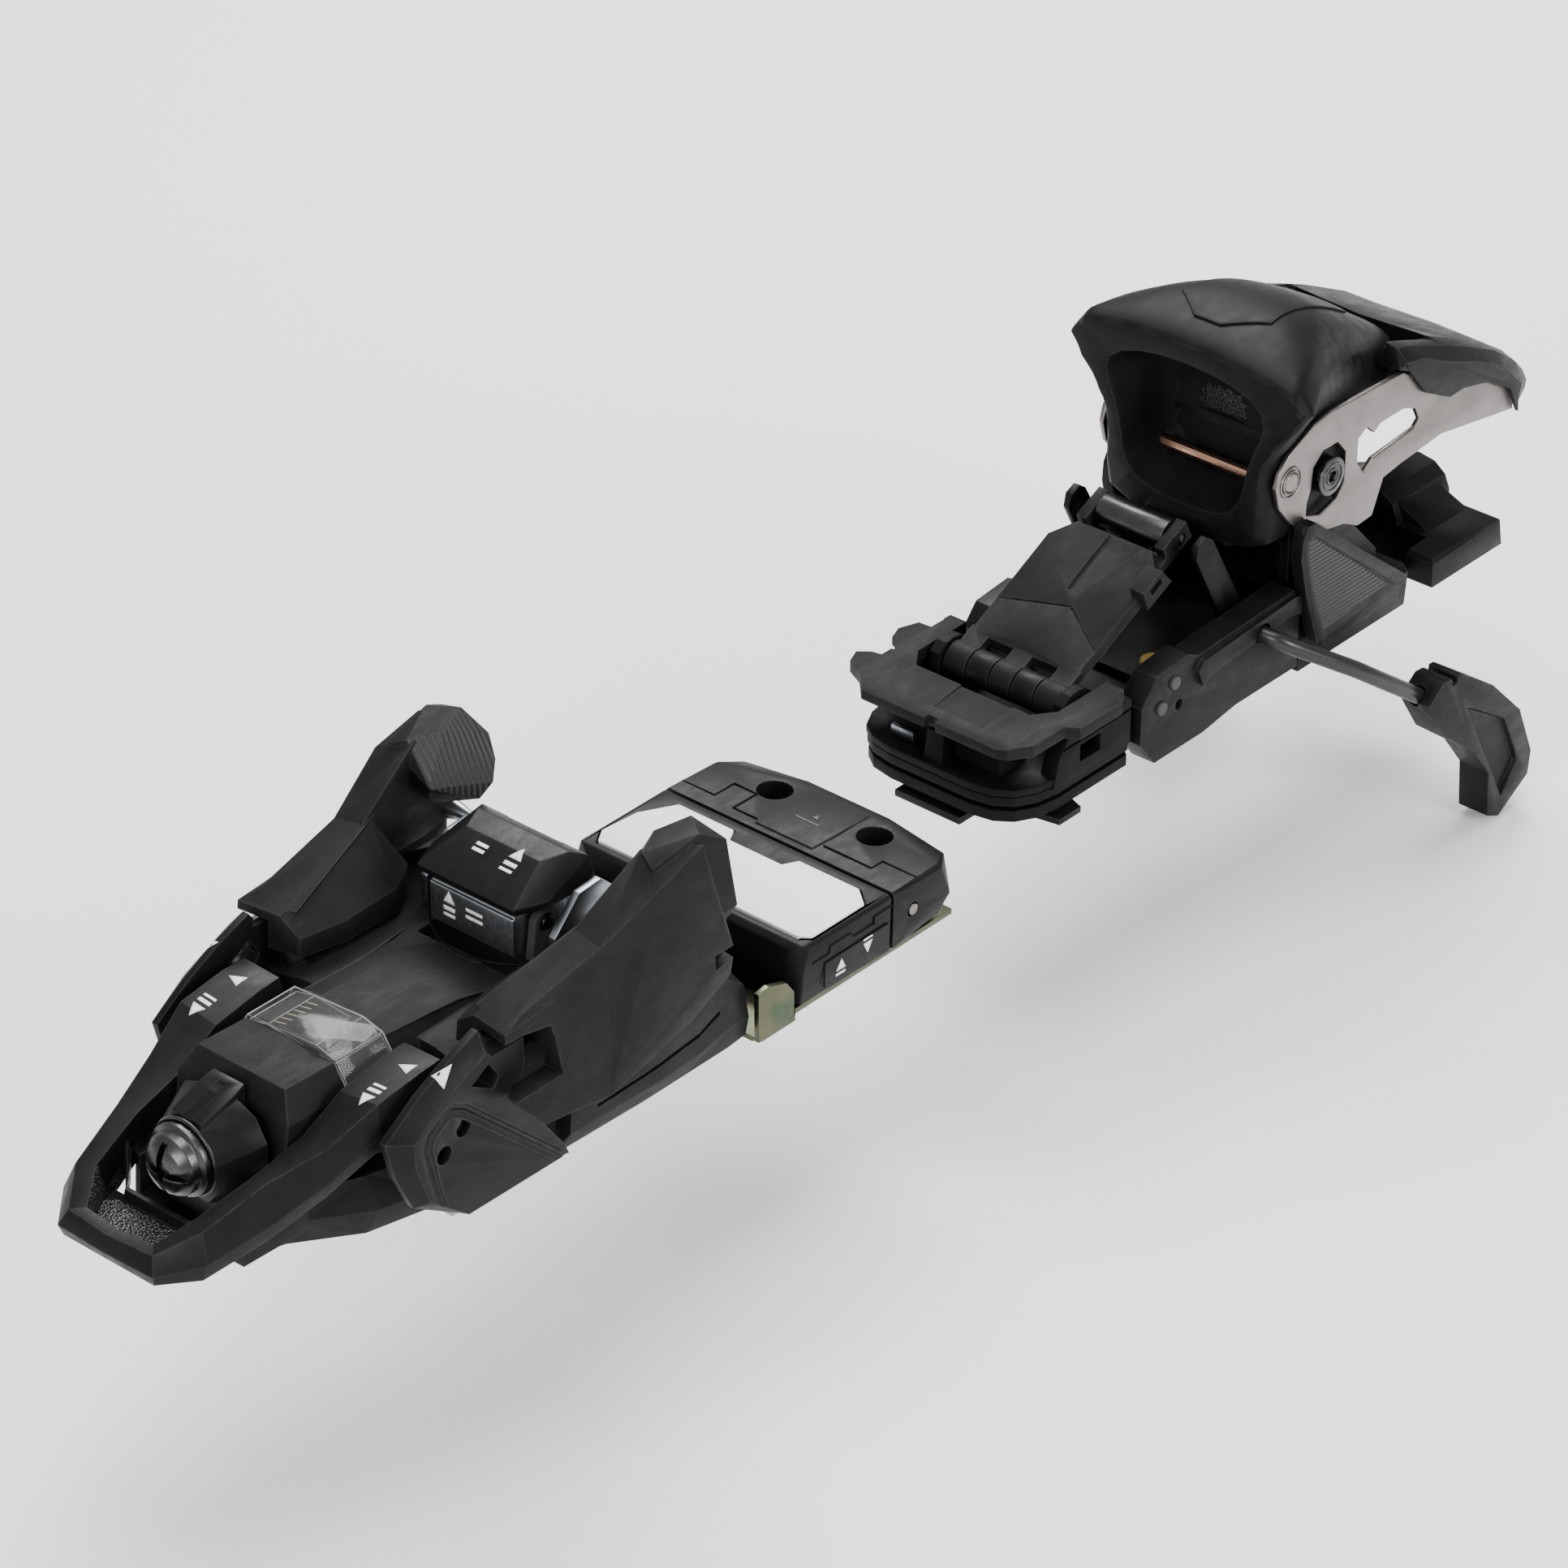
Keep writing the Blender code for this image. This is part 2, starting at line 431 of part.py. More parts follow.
# ============================================================ BOOT REST PLATE
tray = outline("afd_tray", "XY", [(-35.0, 36.0), (-33.0, 34.4), (33.0, 34.4), (35.0, 36.0), (35.0, 47.0), (33.2, 49.0), (33.2, 104.0), (-33.2, 104.0), (-33.2, 49.0), (-35.0, 47.0)], 0.0, 1.4, "brass_steel")
for side, s in SIDES:
    ear = outline("tray_ear_form_" + side, "YZ", [(34.6, 0.2), (46.6, 0.2), (46.6, 8.0), (44.0, 11.6), (38.0, 13.6), (34.6, 13.0)], *both(s, 33.6, 35.0), cutter=True)
    lug = outline("tray_lug_form_" + side, "YZ", [(82.0, 0.6), (94.0, 0.6), (92.0, 11.4), (90.0, 13.0), (86.0, 13.0), (84.0, 11.4)], *both(s, 22.0, 25.0), cutter=True)
    join(tray, ear, lug)
    cut(tray, cyl("lug_bore_" + side, "X", AFD_AXIS, *both(s, 18.0, 29.0), 1.9, n=12, cutter=True))

PAD = [(-33.0, 57.0), (-32.0, 68.0), (-27.0, 77.0), (-10.0, 77.0), (-8.0, 73.2), (8.0, 73.2), (10.0, 77.0), (28.0, 77.0),
       (33.0, 73.0), (33.0, 55.0), (30.5, 53.0), (-30.5, 53.0)]
front = hull("afd_front", [
    (30.0, 48.4, 2.2), (34.0, 50.0, 2.2), (34.6, 80.3, 2.2), (31.0, 48.0, 12.0), (35.0, 50.0, 12.0),
    (31.0, 49.4, AFD_TOP - 1.0), (33.6, 51.0, AFD_TOP), (AFD_HALF, 52.0, AFD_TOP - 0.8), (AFD_HALF, 80.3, AFD_TOP - 0.8), (34.2, 80.3, AFD_TOP)], "black_plastic")
cut(front, outline("pad_seat", "XY", [(x * 1.009, 65.0 + (y - 65.0) * 1.03) for x, y in PAD], AFD_TOP - 1.2, AFD_TOP + 4.0, cutter=True))
pivot(front, (0, *AFD_AXIS))
pivot(outline("afd_pad", "XY", PAD, AFD_TOP - 0.9, AFD_TOP + 0.5, "white_pad"), (0, *AFD_AXIS))
rear = hull("afd_rear", [
    (34.6, 81.2, 2.2), (34.0, 98.0, 3.4), (30.0, 101.0, 4.6), (AFD_HALF, 81.2, AFD_TOP - 0.8), (34.2, 81.2, AFD_TOP),
    (AFD_HALF, 98.0, AFD_TOP - 1.4), (33.6, 98.0, AFD_TOP - 0.4), (35.0, 101.0, 8.0), (31.0, 105.0, 7.6), (30.5, 104.0, AFD_TOP - 1.8), (12.0, 106.2, AFD_TOP - 1.0), (12.0, 106.8, 7.8)], "black_plastic")
cut(rear, cyl("rear_pin_bore", "X", AFD_AXIS, -40.0, 40.0, 1.9, n=12, cutter=True))
for side, s in SIDES:
    cut(rear, box("rear_lug_room_" + side, both(s, 21.0, 26.0), (76.0, 97.0), (-2.0, 14.6), cutter=True),
        cyl("rear_screw_hole_" + side, "Z", (s * 15.3, 97.4), -5.0, 25.0, 4.4, n=18, cutter=True))
pivot(rear, (0, *AFD_AXIS))
cyl("afd_hinge_pin", "X", AFD_AXIS, -35.2, 35.2, 1.5, "satin_steel", n=12)

def flat_screw(name, x, y, z, mat="dark_steel"):
    """A pan-head screw standing at this height, with a cross in its head."""
    head = cyl(name, "Z", (x, y), z, z + 2.4, 3.9, mat, n=16)
    cut(head, box(name + "_slot_a", (x - 2.4, x + 2.4), (y - 0.5, y + 0.5), (z + 1.2, z + 5), cutter=True),
        box(name + "_slot_b", (x - 0.5, x + 0.5), (y - 2.4, y + 2.4), (z + 1.2, z + 5), cutter=True))
    return head


flat_screw("toe_mounting_screw_left", -15.3, 97.4, 1.7)
flat_screw("toe_mounting_screw_right", 15.3, 97.4, 1.7)

# ================================================================ HEEL PIECE
track = box("heel_track", (-18.0, 18.0), (146.0, 306.0), (0.0, TRACK_TOP), "black_plastic")
join(track,
     box("track_tongue_form", (-10.0, 10.0), (134.6, 150.0), (0.0, 1.8), cutter=True),
     hull("track_foot_form", [(17.0, 148.0, 0.0), (28.0, 150.0, 0.0), (28.0, 158.0, 0.0), (17.0, 162.0, 0.0),
                              (17.0, 148.0, 1.6), (28.0, 150.0, 1.6), (28.0, 158.0, 1.6), (17.0, 162.0, 1.6)], cutter=True),
     hull("track_end_form", [(28.0, 299.0, 0.0), (28.0, 299.0, 6.6), (28.0, 329.0, 0.0), (28.0, 327.6, 7.8), (27.0, 300.0, 7.8)], cutter=True),
     outline("track_hump_form", "XZ", [(-10.0, 1.0), (10.0, 1.0), (10.0, 9.0), (8.4, 12.6), (5.0, 15.2), (0, 16.0), (-5.0, 15.2), (-8.4, 12.6), (-10.0, 9.0)], 308.0, 330.6, cutter=True))
cut(track,
    box("track_recess", (-19.6, 19.6), (290.0, 308.0), (TRACK_TOP, 20.0), cutter=True),
    cyl("track_screw_bore", "Y", (0, SCREW_Z), 300.0, 335.0, 2.7, n=16, cutter=True))
thread = []
z0, z1, steps = 262.0, 329.6, 27
profile = [(0, z1), (2.2, z1)]
for i in range(steps):
    y = z1 - 0.6 - (z1 - z0 - 1.2) * i / steps
    profile += [(2.2, y), (1.8, y - 1.2)]
profile += [(2.0, z0), (0, z0)]
turned("heel_adjust_screw", (0, SCREW_Z), profile, "brass_steel", steps=12, smooth=50)

carriage = box("heel_carriage", (-20.7, 20.7), (186.0, 244.0), (TRACK_TOP + 0.4, 9.4), "black_plastic")
join(carriage,
     hull("carriage_rear_form", [(28.0, 243.0, 0.6), (28.0, 287.0, 0.6), (28.0, 243.0, 9.0), (28.0, 288.0, 9.6), (26.0, 243.0, 11.0), (26.0, 288.6, 11.0)], cutter=True),
     hull("carriage_nut_form", [(8.0, 258.0, 4.0), (8.0, 287.0, 4.0), (8.0, 258.0, 12.0), (8.0, 287.0, 12.0), (5.0, 258.0, 14.0), (5.0, 287.0, 14.0)], cutter=True))
for side, s in SIDES:
    lo, hi = both(s, 27.7, 30.2)
    join(carriage, outline("fin_form_" + side, "YZ", [(238.6, 36.0), (239.4, 43.0), (243.0, 42.6), (262.0, 27.0), (281.0, 12.0), (281.0, 6.0), (250.0, 6.0), (243.0, 22.0)], lo, hi, cutter=True))
cut(carriage,
    box("carriage_channel", (-18.6, 18.6), (170.0, 300.0), (-2.0, TRACK_TOP + 0.4), cutter=True),
    cyl("carriage_screw_bore", "Y", (0, SCREW_Z), 256.0, 300.0, 2.8, n=16, cutter=True))

housing = box("brake_housing", (-24.0, 24.0), (200.0, 238.0), (9.8, 11.6), "black_plastic")
for side, s in SIDES:
    lo, hi = both(s, 21.1, HEEL_HALF)
    join(housing, outline("cheek_form_" + side, "YZ", [
        (186.0, 0.6), (180.4, 8.0), (180.4, 18.0), (186.0, 24.4), (198.0, 25.6), (202.0, 23.6), (240.0, 25.0), (242.4, 22.0), (242.4, 2.5), (218.0, 2.5), (205.0, 0.6)], lo, hi, cutter=True))
for side, s in SIDES:
    lo, hi = both(s, 18.0, 40.0)
    cut(housing, cyl("wire_bore_" + side, "X", BRAKE_AXIS, lo, hi, WIRE_R + 0.5, n=16, cutter=True),
        cyl("cheek_peg_hole_" + side, "X", (195.0, 13.0), *both(s, 25.0, 40.0), 1.5, n=12, cutter=True),
        cyl("cheek_pin_front_" + side, "X", (188.0, 15.0), *both(s, 27.4, 40.0), 1.9, n=12, cutter=True),
        cyl("cheek_pin_rear_" + side, "X", (193.0, 20.0), *both(s, 27.4, 40.0), 1.9, n=12, cutter=True),
        box("cheek_clear_" + side, both(s, 18.0, 21.1), (236.0, 260.0), (0.0, 30.0), cutter=True),
        box("cheek_low_clear_" + side, both(s, 18.0, 29.0), (242.7, 260.0), (0.0, 30.0), cutter=True))

base = hull("heel_front_base", [(24.0, 141.0, 3.6), (24.0, 179.6, 3.6), (26.6, 150.0, 3.6), (26.6, 178.0, 3.6),
                                (22.0, 135.6, 8.0), (27.0, 146.0, 8.0), (27.0, 178.0, 8.0), (20.0, 179.8, 8.0),
                                (21.0, 135.0, 12.6), (27.0, 145.0, 12.6), (27.0, 178.0, 12.6), (20.0, 178.0, 12.6)], "black_plastic")
cut(base, hull("front_step", [(30.0, 100.0, 6.6), (30.0, 137.2, 6.6), (30.0, 100.0, 7.8), (30.0, 137.2, 7.8)], cutter=True),
    box("front_well", (-16.8, 16.8), (156.0, 190.0), (9.4, 20.0), cutter=True),
    box("front_shelf", (-14.0, 14.0), (120.0, 139.0), (9.2, 10.8), cutter=True))
for side, s in SIDES:
    wall = box("base_wall_form_" + side, both(s, 22.4, 27.0), (150.0, 177.6), (10.0, 22.2), cutter=True)
    lug = outline("base_lug_form_" + side, "YZ", [(158.0, 10.0), (177.0, 10.0), (170.6, 25.0), (167.0, 27.4), (163.0, 27.4), (159.6, 25.0)], *both(s, 17.5, 20.6), cutter=True)
    join(base, wall, lug)
    cut(base, cyl("base_lug_bore_" + side, "X", PEDAL_AXIS, *both(s, 16.0, 22.3), 1.9, n=12, cutter=True),
        box("wall_hole_" + side, both(s, 21.5, 30.0), (157.0, 166.0), (13.0, 18.0), cutter=True))

slider_points = [(-22.0, 134.4), (22.0, 134.4), (27.0, 141.0), (27.0, 174.6), (21.4, 174.6), (21.4, 156.0), (17.5, 151.0), (-17.5, 151.0), (-21.4, 156.0), (-21.4, 174.6), (-27.0, 174.6), (-27.0, 141.0)]
slider = outline("walk_slider", "XY", slider_points, 22.6, 26.0, "matte_plastic")
join(slider,
     outline("slider_tab_front_form", "XY", [(-26.0, 139.6), (-32.6, 142.0), (-32.6, 148.4), (-26.0, 147.0)], 22.6, 25.4, cutter=True),
     outline("slider_tab_rear_form", "XY", [(-26.0, 156.0), (-32.0, 158.4), (-33.2, 162.0), (-32.0, 168.0), (-26.0, 169.0)], 22.6, 25.4, cutter=True),
     outline("slider_hook_form", "XY", [(26.0, 152.0), (30.6, 154.0), (30.6, 171.0), (26.0, 172.6)], 22.6, 24.8, cutter=True))

U = Vector((0.0, math.cos(PEDAL_SLOPE), math.sin(PEDAL_SLOPE)))
N = Vector((0.0, -math.sin(PEDAL_SLOPE), math.cos(PEDAL_SLOPE)))
P0 = Vector((0.0, *PEDAL_AXIS))


def on_pedal(x, s, n):
    """A point at this X, distance up the pedal's slope, and height above its hinge plane."""
    q = P0 + U * s + N * n
    return (x, q.y, q.z)


def slab(name, xs, ss, ns, mat=None, **k):
    pts = [on_pedal(x, s, n) for x in xs for s in ss for n in ns]
    return hull(name, pts, mat, mirror=False, **k)


KNUCKLE = 4.6
ROLLER = on_pedal(0, PEDAL_LENGTH, 0)
pedal = slab("brake_pedal", (-13.4, 13.4), (5.6, 47.4), (-2.4, 0.3), "black_plastic")
for side, s in SIDES:
    join(pedal,
         cyl("pedal_knuckle_form_" + side, "X", PEDAL_AXIS, *both(s, 3.6, 10.1), KNUCKLE, n=18, cutter=True),
         slab("pedal_bridge_form_" + side, both(s, 3.8, 9.9), (2.0, 7.4), (-2.2, 0.1), cutter=True),
         slab("pedal_ear_form_" + side, both(s, 10.5, 13.4), (46.9, 56.6), (-2.1, 3.4), cutter=True))
cut(pedal, cyl("pedal_bore", "X", PEDAL_AXIS, -30.0, 30.0, 1.9, n=12, cutter=True),
    cyl("ear_bore", "X", ROLLER[1:], -30.0, 30.0, 1.7, n=12, cutter=True),
    slab("pedal_window", (-7.5, 7.5), (16.0, 38.0), (-8.0, 8.0), cutter=True))
pivot(pedal, (0, *PEDAL_AXIS))
roller = cyl("pedal_roller", "X", ROLLER[1:], -10.1, 10.1, 4.3, "dark_steel", n=20)
join(roller, cyl("roller_axle_form", "X", ROLLER[1:], -13.2, 13.2, 1.4, n=12, cutter=True))
pivot(roller, ROLLER)
riser = slab("climbing_aid", (-17.0, 17.0), (5.8, 46.4), (0.8, 3.4), "matte_plastic")
for name, lo, hi in (("left", -17.0, -10.5), ("middle", -3.2, 3.2), ("right", 10.5, 17.0)):
    join(riser,
         cyl("riser_knuckle_form_" + name, "X", PEDAL_AXIS, lo, hi, KNUCKLE, n=18, cutter=True),
         slab("riser_bridge_form_" + name, (lo + 0.2, hi - 0.2), (1.0, 7.4), (1.0, 3.2), cutter=True))
cut(riser, cyl("riser_bore", "X", PEDAL_AXIS, -30.0, 30.0, 1.9, n=12, cutter=True))
pivot(riser, (0, *PEDAL_AXIS))
cyl("pedal_hinge_pin", "X", PEDAL_AXIS, -20.4, 20.4, 1.5, "zinc_steel", n=12)
cyl("brake_bumper", "Z", (13.0, 204.0), 11.9, 16.0, 3.4, "amber_rubber", n=16)

WIRE = [(20.9, 226.0, 19.4), (31.0, 226.0, 19.4), (34.0, 227.4, 18.4), (36.6, 230.6, 16.0), (45.0, 243.5, 7.6), (48.4, 258.0, -2.8), (50.0, 271.4, -12.6)]
FOOT = [(262.4, -8.2), (268.4, -3.8), (276.0, -4.4), (290.0, -14.0), (303.0, -27.0), (309.4, -42.0), (308.6, -48.6), (296.4, -55.6), (291.6, -53.4), (290.6, -40.0), (283.0, -30.0), (270.0, -20.0)]
for side, s in SIDES:
    lo, hi = both(s, 18.5, 20.6)
    y0, zz = BRAKE_AXIS
    crank = outline("brake_crank_" + side, "YZ", [(y0 + 4.2, zz - 1.0), (y0 + 3.6, zz + 3.0), (ROLLER[1] + 3.2, ROLLER[2] + 1.6), (ROLLER[1] + 0.6, ROLLER[2] + 3.4),
                                                  (ROLLER[1] - 2.6, ROLLER[2] + 2.0), (ROLLER[1] - 3.4, ROLLER[2] - 1.6), (y0 - 4.0, zz + 0.4), (y0 - 2.6, zz - 3.4), (y0 + 1.6, zz - 4.0)], lo, hi, "dark_steel")
    pivot(crank, (0, *BRAKE_AXIS))
    wire = tube("brake_wire_" + side, [(s * a, b, c) for a, b, c in WIRE], WIRE_R, "gloss_plastic", resolution=1)
    pivot(wire, (0, *BRAKE_AXIS))
    lo, hi = both(s, 45.4, 54.4)
    foot = outline("brake_foot_" + side, "YZ", FOOT, lo, hi, "black_plastic")
    a, b = v((s * 48.0, 256.0, -1.4)), v((s * 50.4, 275.0, -15.2))
    bm = bmesh.new()
    bmesh.ops.create_cone(bm, cap_ends=True, segments=14, radius1=2.7 * MM, radius2=2.7 * MM, depth=(b - a).length,
                          matrix=Matrix.Translation((a + b) / 2) @ (b - a).to_track_quat("Z", "Y").to_matrix().to_4x4())
    cut(foot, from_bmesh("foot_bore_" + side, bm, cutter=True))
    pivot(foot, (0, *BRAKE_AXIS))

# Tower: two cheeks carry the main axle, a block between them backs the spring.
tower = hull("heel_tower", [(17.4, 258.0, 11.4), (17.4, 283.0, 11.4), (17.4, 258.0, 30.0), (17.4, 282.0, 30.0), (15.0, 260.0, 34.0), (15.0, 280.0, 34.0)], "black_plastic")
for side, s in SIDES:
    join(tower, outline("tower_cheek_form_" + side, "YZ", [
        (246.0, 11.4), (283.0, 11.4), (283.0, 30.0), (264.0, 50.0), (259.6, 55.6), (256.0, 58.2), (252.5, 59.2), (249.0, 58.2), (246.2, 55.6), (245.0, 51.6), (246.0, 36.0)],
        *both(s, 18.6, 21.4), cutter=True),
        box("tower_web_form_" + side, both(s, 16.0, 19.0), (262.0, 282.0), (11.4, 29.0), cutter=True))
cut(tower, cyl("tower_axle_bore", "X", CUP_AXIS, -30.0, 30.0, 3.8, n=18, cutter=True),
    box("tower_spring_room", (-9.0, 9.0), (250.0, 275.0), (17.0, 26.0), cutter=True),
    box("tower_nut_room", (-8.6, 8.6), (250.0, 290.0), (5.0, 14.4), cutter=True))

axle = cyl("heel_main_axle", "X", CUP_AXIS, -28.6, 28.6, 3.4, "dark_steel", n=18)
for side, s in SIDES:
    join(axle, cyl("axle_cap_form_" + side, "X", CUP_AXIS, *both(s, 25.7, 28.6), 4.7, n=22, cutter=True))
    cut(axle, cyl("axle_hex_" + side, "X", CUP_AXIS, *both(s, 27.2, 30.0), 1.7, n=6, cutter=True))

cup = symmetric_loft("heel_cup", [
    (231.0, [(0, 40.0), (14.0, 40.0), (22.0, 42.0), (23.6, 58.0), (33.0, 77.0), (27.0, 85.0), (12.0, 87.4), (0, 88.0)]),
    (236.0, [(0, 35.0), (20.0, 35.0), (25.3, 42.0), (25.3, 70.0), (31.6, 80.0), (27.0, 86.6), (13.0, 89.8), (0, 90.6)]),
    (243.0, [(0, 35.0), (20.0, 35.0), (25.4, 43.0), (25.4, 73.0), (28.6, 81.4), (24.4, 87.4), (13.0, 91.8), (0, 93.0)]),
    (252.0, [(0, 40.0), (20.0, 40.0), (25.4, 46.0), (25.4, 73.0), (25.4, 79.0), (19.0, 88.4), (11.0, 92.4), (0, 93.8)]),
    (268.0, [(0, 48.0), (20.0, 48.0), (25.4, 52.0), (25.2, 68.0), (22.6, 75.0), (16.0, 83.4), (9.0, 85.8), (0, 86.6)]),
    (284.0, [(0, 54.0), (16.0, 54.0), (19.4, 57.0), (19.4, 66.0), (18.0, 71.0), (13.0, 75.6), (7.0, 76.8), (0, 77.4)]),
    (298.0, [(0, 59.0), (10.0, 59.0), (14.0, 60.0), (14.0, 62.0), (12.6, 65.0), (9.4, 67.2), (5.0, 68.0), (0, 68.2)]),
], "black_plastic")
cut(cup,
    outline("cup_mouth", "XZ", [(-12.0, 44.0), (12.0, 44.0), (16.4, 49.0), (16.4, 68.0), (14.0, 75.0), (8.0, 80.0), (-8.0, 80.0), (-14.0, 75.0), (-16.4, 68.0), (-16.4, 49.0)], 220.0, 246.2, cutter=True),
    hull("cup_mouth_flare", [(20.5, 220.0, 44.0), (20.5, 220.0, 78.0), (14.0, 220.0, 83.0), (13.0, 220.0, 41.6),
                             (16.0, 239.0, 49.0), (16.0, 239.0, 70.0), (9.0, 239.0, 79.0), (11.0, 239.0, 45.0)], cutter=True),
    box("cup_under_room", (-21.9, 21.9), (248.8, 310.0), (10.0, 58.5), cutter=True),
    cyl("cup_axle_bore", "X", CUP_AXIS, -30.0, 30.0, 3.9, n=18, cutter=True),
    cyl("cup_rod_bore", "X", (242.0, 50.4), -21.0, 21.0, 1.9, n=12, cutter=True),
    cyl("cup_spring_bore", "Y", (0, 66.6 - 3.0), 262.0, 310.0, 3.6, n=18, cutter=True))
for side, s in SIDES:
    cut(cup, box("cup_cheek_slot_" + side, both(s, 18.2, 21.9), (244.2, 260.0), (10.0, 60.4), cutter=True),
        cyl("cup_rivet_bore_" + side, "X", RIVET_AXIS, *both(s, 19.5, 40.0), 2.9, n=14, cutter=True))
pivot(cup, (0, *CUP_AXIS))
cyl("cup_rod", "X", (242.0, 50.4), -20.6, 20.6, 1.6, "copper", n=14)

screw2 = turned("heel_din_screw", (0, 63.6), [(0, 299.2), (2.6, 299.2), (3.2, 298.6), (3.2, 276.0), (2.6, 275.4), (0, 275.4)], "zinc_steel", steps=16)
cut(screw2, box("heel_din_slot", (-4, 4), (298.0, 306.0), (63.0, 64.2), cutter=True))

PLATE = [(282, 68), (269, 68.4), (253, 69), (246, 68), (240, 65.4), (236, 63.6), (232.6, 60), (231.4, 56), (233, 50), (238, 44),
         (242, 41), (252, 36), (260, 34.6), (266, 31.6), (272, 32), (276, 41), (283, 42), (300, 43.4), (331, 38), (331, 46), (304, 57.6), (296, 60)]
CRESCENT = [(256, 59.2), (250, 59.2), (246.4, 56), (246, 51), (244.4, 47), (244.2, 43.6), (250, 41.6), (257, 43.4), (259.6, 47), (259.6, 55)]
SLOT = [(264.6, 56.6), (268, 58.4), (271, 55.6), (273.4, 57.2), (283, 57.4), (288, 55.4), (290, 51.6), (288, 50), (271, 48.6), (267.4, 46), (264.6, 50)]
for side, s in SIDES:
    lo, hi = both(s, PLATE_IN, PLATE_OUT)
    plate = outline("lever_plate_" + side, "YZ", PLATE, lo, hi, "satin_steel")
    cut(plate, outline("crescent_" + side, "YZ", CRESCENT, lo - 3, hi + 3, cutter=True),
        outline("plate_slot_" + side, "YZ", SLOT, lo - 3, hi + 3, cutter=True),
        cyl("rivet_hole_" + side, "X", RIVET_AXIS, lo - 3, hi + 3, 2.9, n=14, cutter=True))
    pivot(plate, (0, *RIVET_AXIS))
    lo, hi = both(s, 20.0, 27.9)
    rivet = cyl("lever_rivet_" + side, "X", RIVET_AXIS, lo, hi, 2.6, "zinc_steel", n=16)
    pivot(rivet, (0, *RIVET_AXIS))
grip = hull("lever_grip", [(25.4, 301.0, 50.0), (25.4, 301.0, 61.0), (21.0, 301.0, 65.0), (0, 301.4, 64.0), (22.0, 337.0, 33.4), (20.4, 342.6, 38.0), (20.0, 338.0, 44.6), (18.0, 330.0, 50.4),
                           (0, 330.0, 52.0), (0, 343.0, 41.0), (0, 338.0, 35.0), (20.0, 301.0, 50.0)], "black_plastic")
for side, s in SIDES:
    join(grip, hull("grip_arm_form_" + side, [(s * 20.4, 287.0, 61.0), (s * 25.4, 287.0, 61.0), (s * 20.4, 287.6, 69.0), (s * 24.0, 287.6, 69.0), (s * 20.4, 306.0, 52.0),
                                              (s * 25.4, 306.0, 52.0), (s * 20.4, 306.0, 62.6), (s * 24.6, 306.0, 61.6)], mirror=False, cutter=True))
pivot(grip, (0, *RIVET_AXIS))
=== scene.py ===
"""Looks of the touring ski binding: finished surfaces, rounded edges and fine
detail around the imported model. Lengths are millimetres, multiplied by MM."""

import json
import math

import bmesh
import bpy
from mathutils import Matrix, Vector
from mathutils.bvhtree import BVHTree


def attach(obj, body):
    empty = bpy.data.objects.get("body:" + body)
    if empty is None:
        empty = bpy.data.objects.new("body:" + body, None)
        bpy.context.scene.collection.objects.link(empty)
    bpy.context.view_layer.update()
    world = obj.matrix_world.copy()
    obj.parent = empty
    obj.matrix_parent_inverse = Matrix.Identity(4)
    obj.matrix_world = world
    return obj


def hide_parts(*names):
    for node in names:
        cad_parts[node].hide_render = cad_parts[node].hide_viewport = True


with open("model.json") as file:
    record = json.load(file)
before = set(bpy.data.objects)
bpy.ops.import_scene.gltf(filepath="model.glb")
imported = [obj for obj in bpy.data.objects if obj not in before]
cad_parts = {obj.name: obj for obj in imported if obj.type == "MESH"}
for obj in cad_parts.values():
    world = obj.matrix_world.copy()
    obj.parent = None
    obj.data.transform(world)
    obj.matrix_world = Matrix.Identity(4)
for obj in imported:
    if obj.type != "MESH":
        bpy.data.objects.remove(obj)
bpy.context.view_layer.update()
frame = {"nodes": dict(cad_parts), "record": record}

NODES = frame["nodes"]
BODY_OF = {n: b for b, ns in frame["record"]["behaviour"]["bodies"].items() for n in ns}
SLOT_OF = {s["node"]: s["material_slot"] for s in frame["record"]["subparts"]}
MM = 0.001
SIDES = (("left", -1), ("right", 1))

# ------------------------------------------------------------------ materials


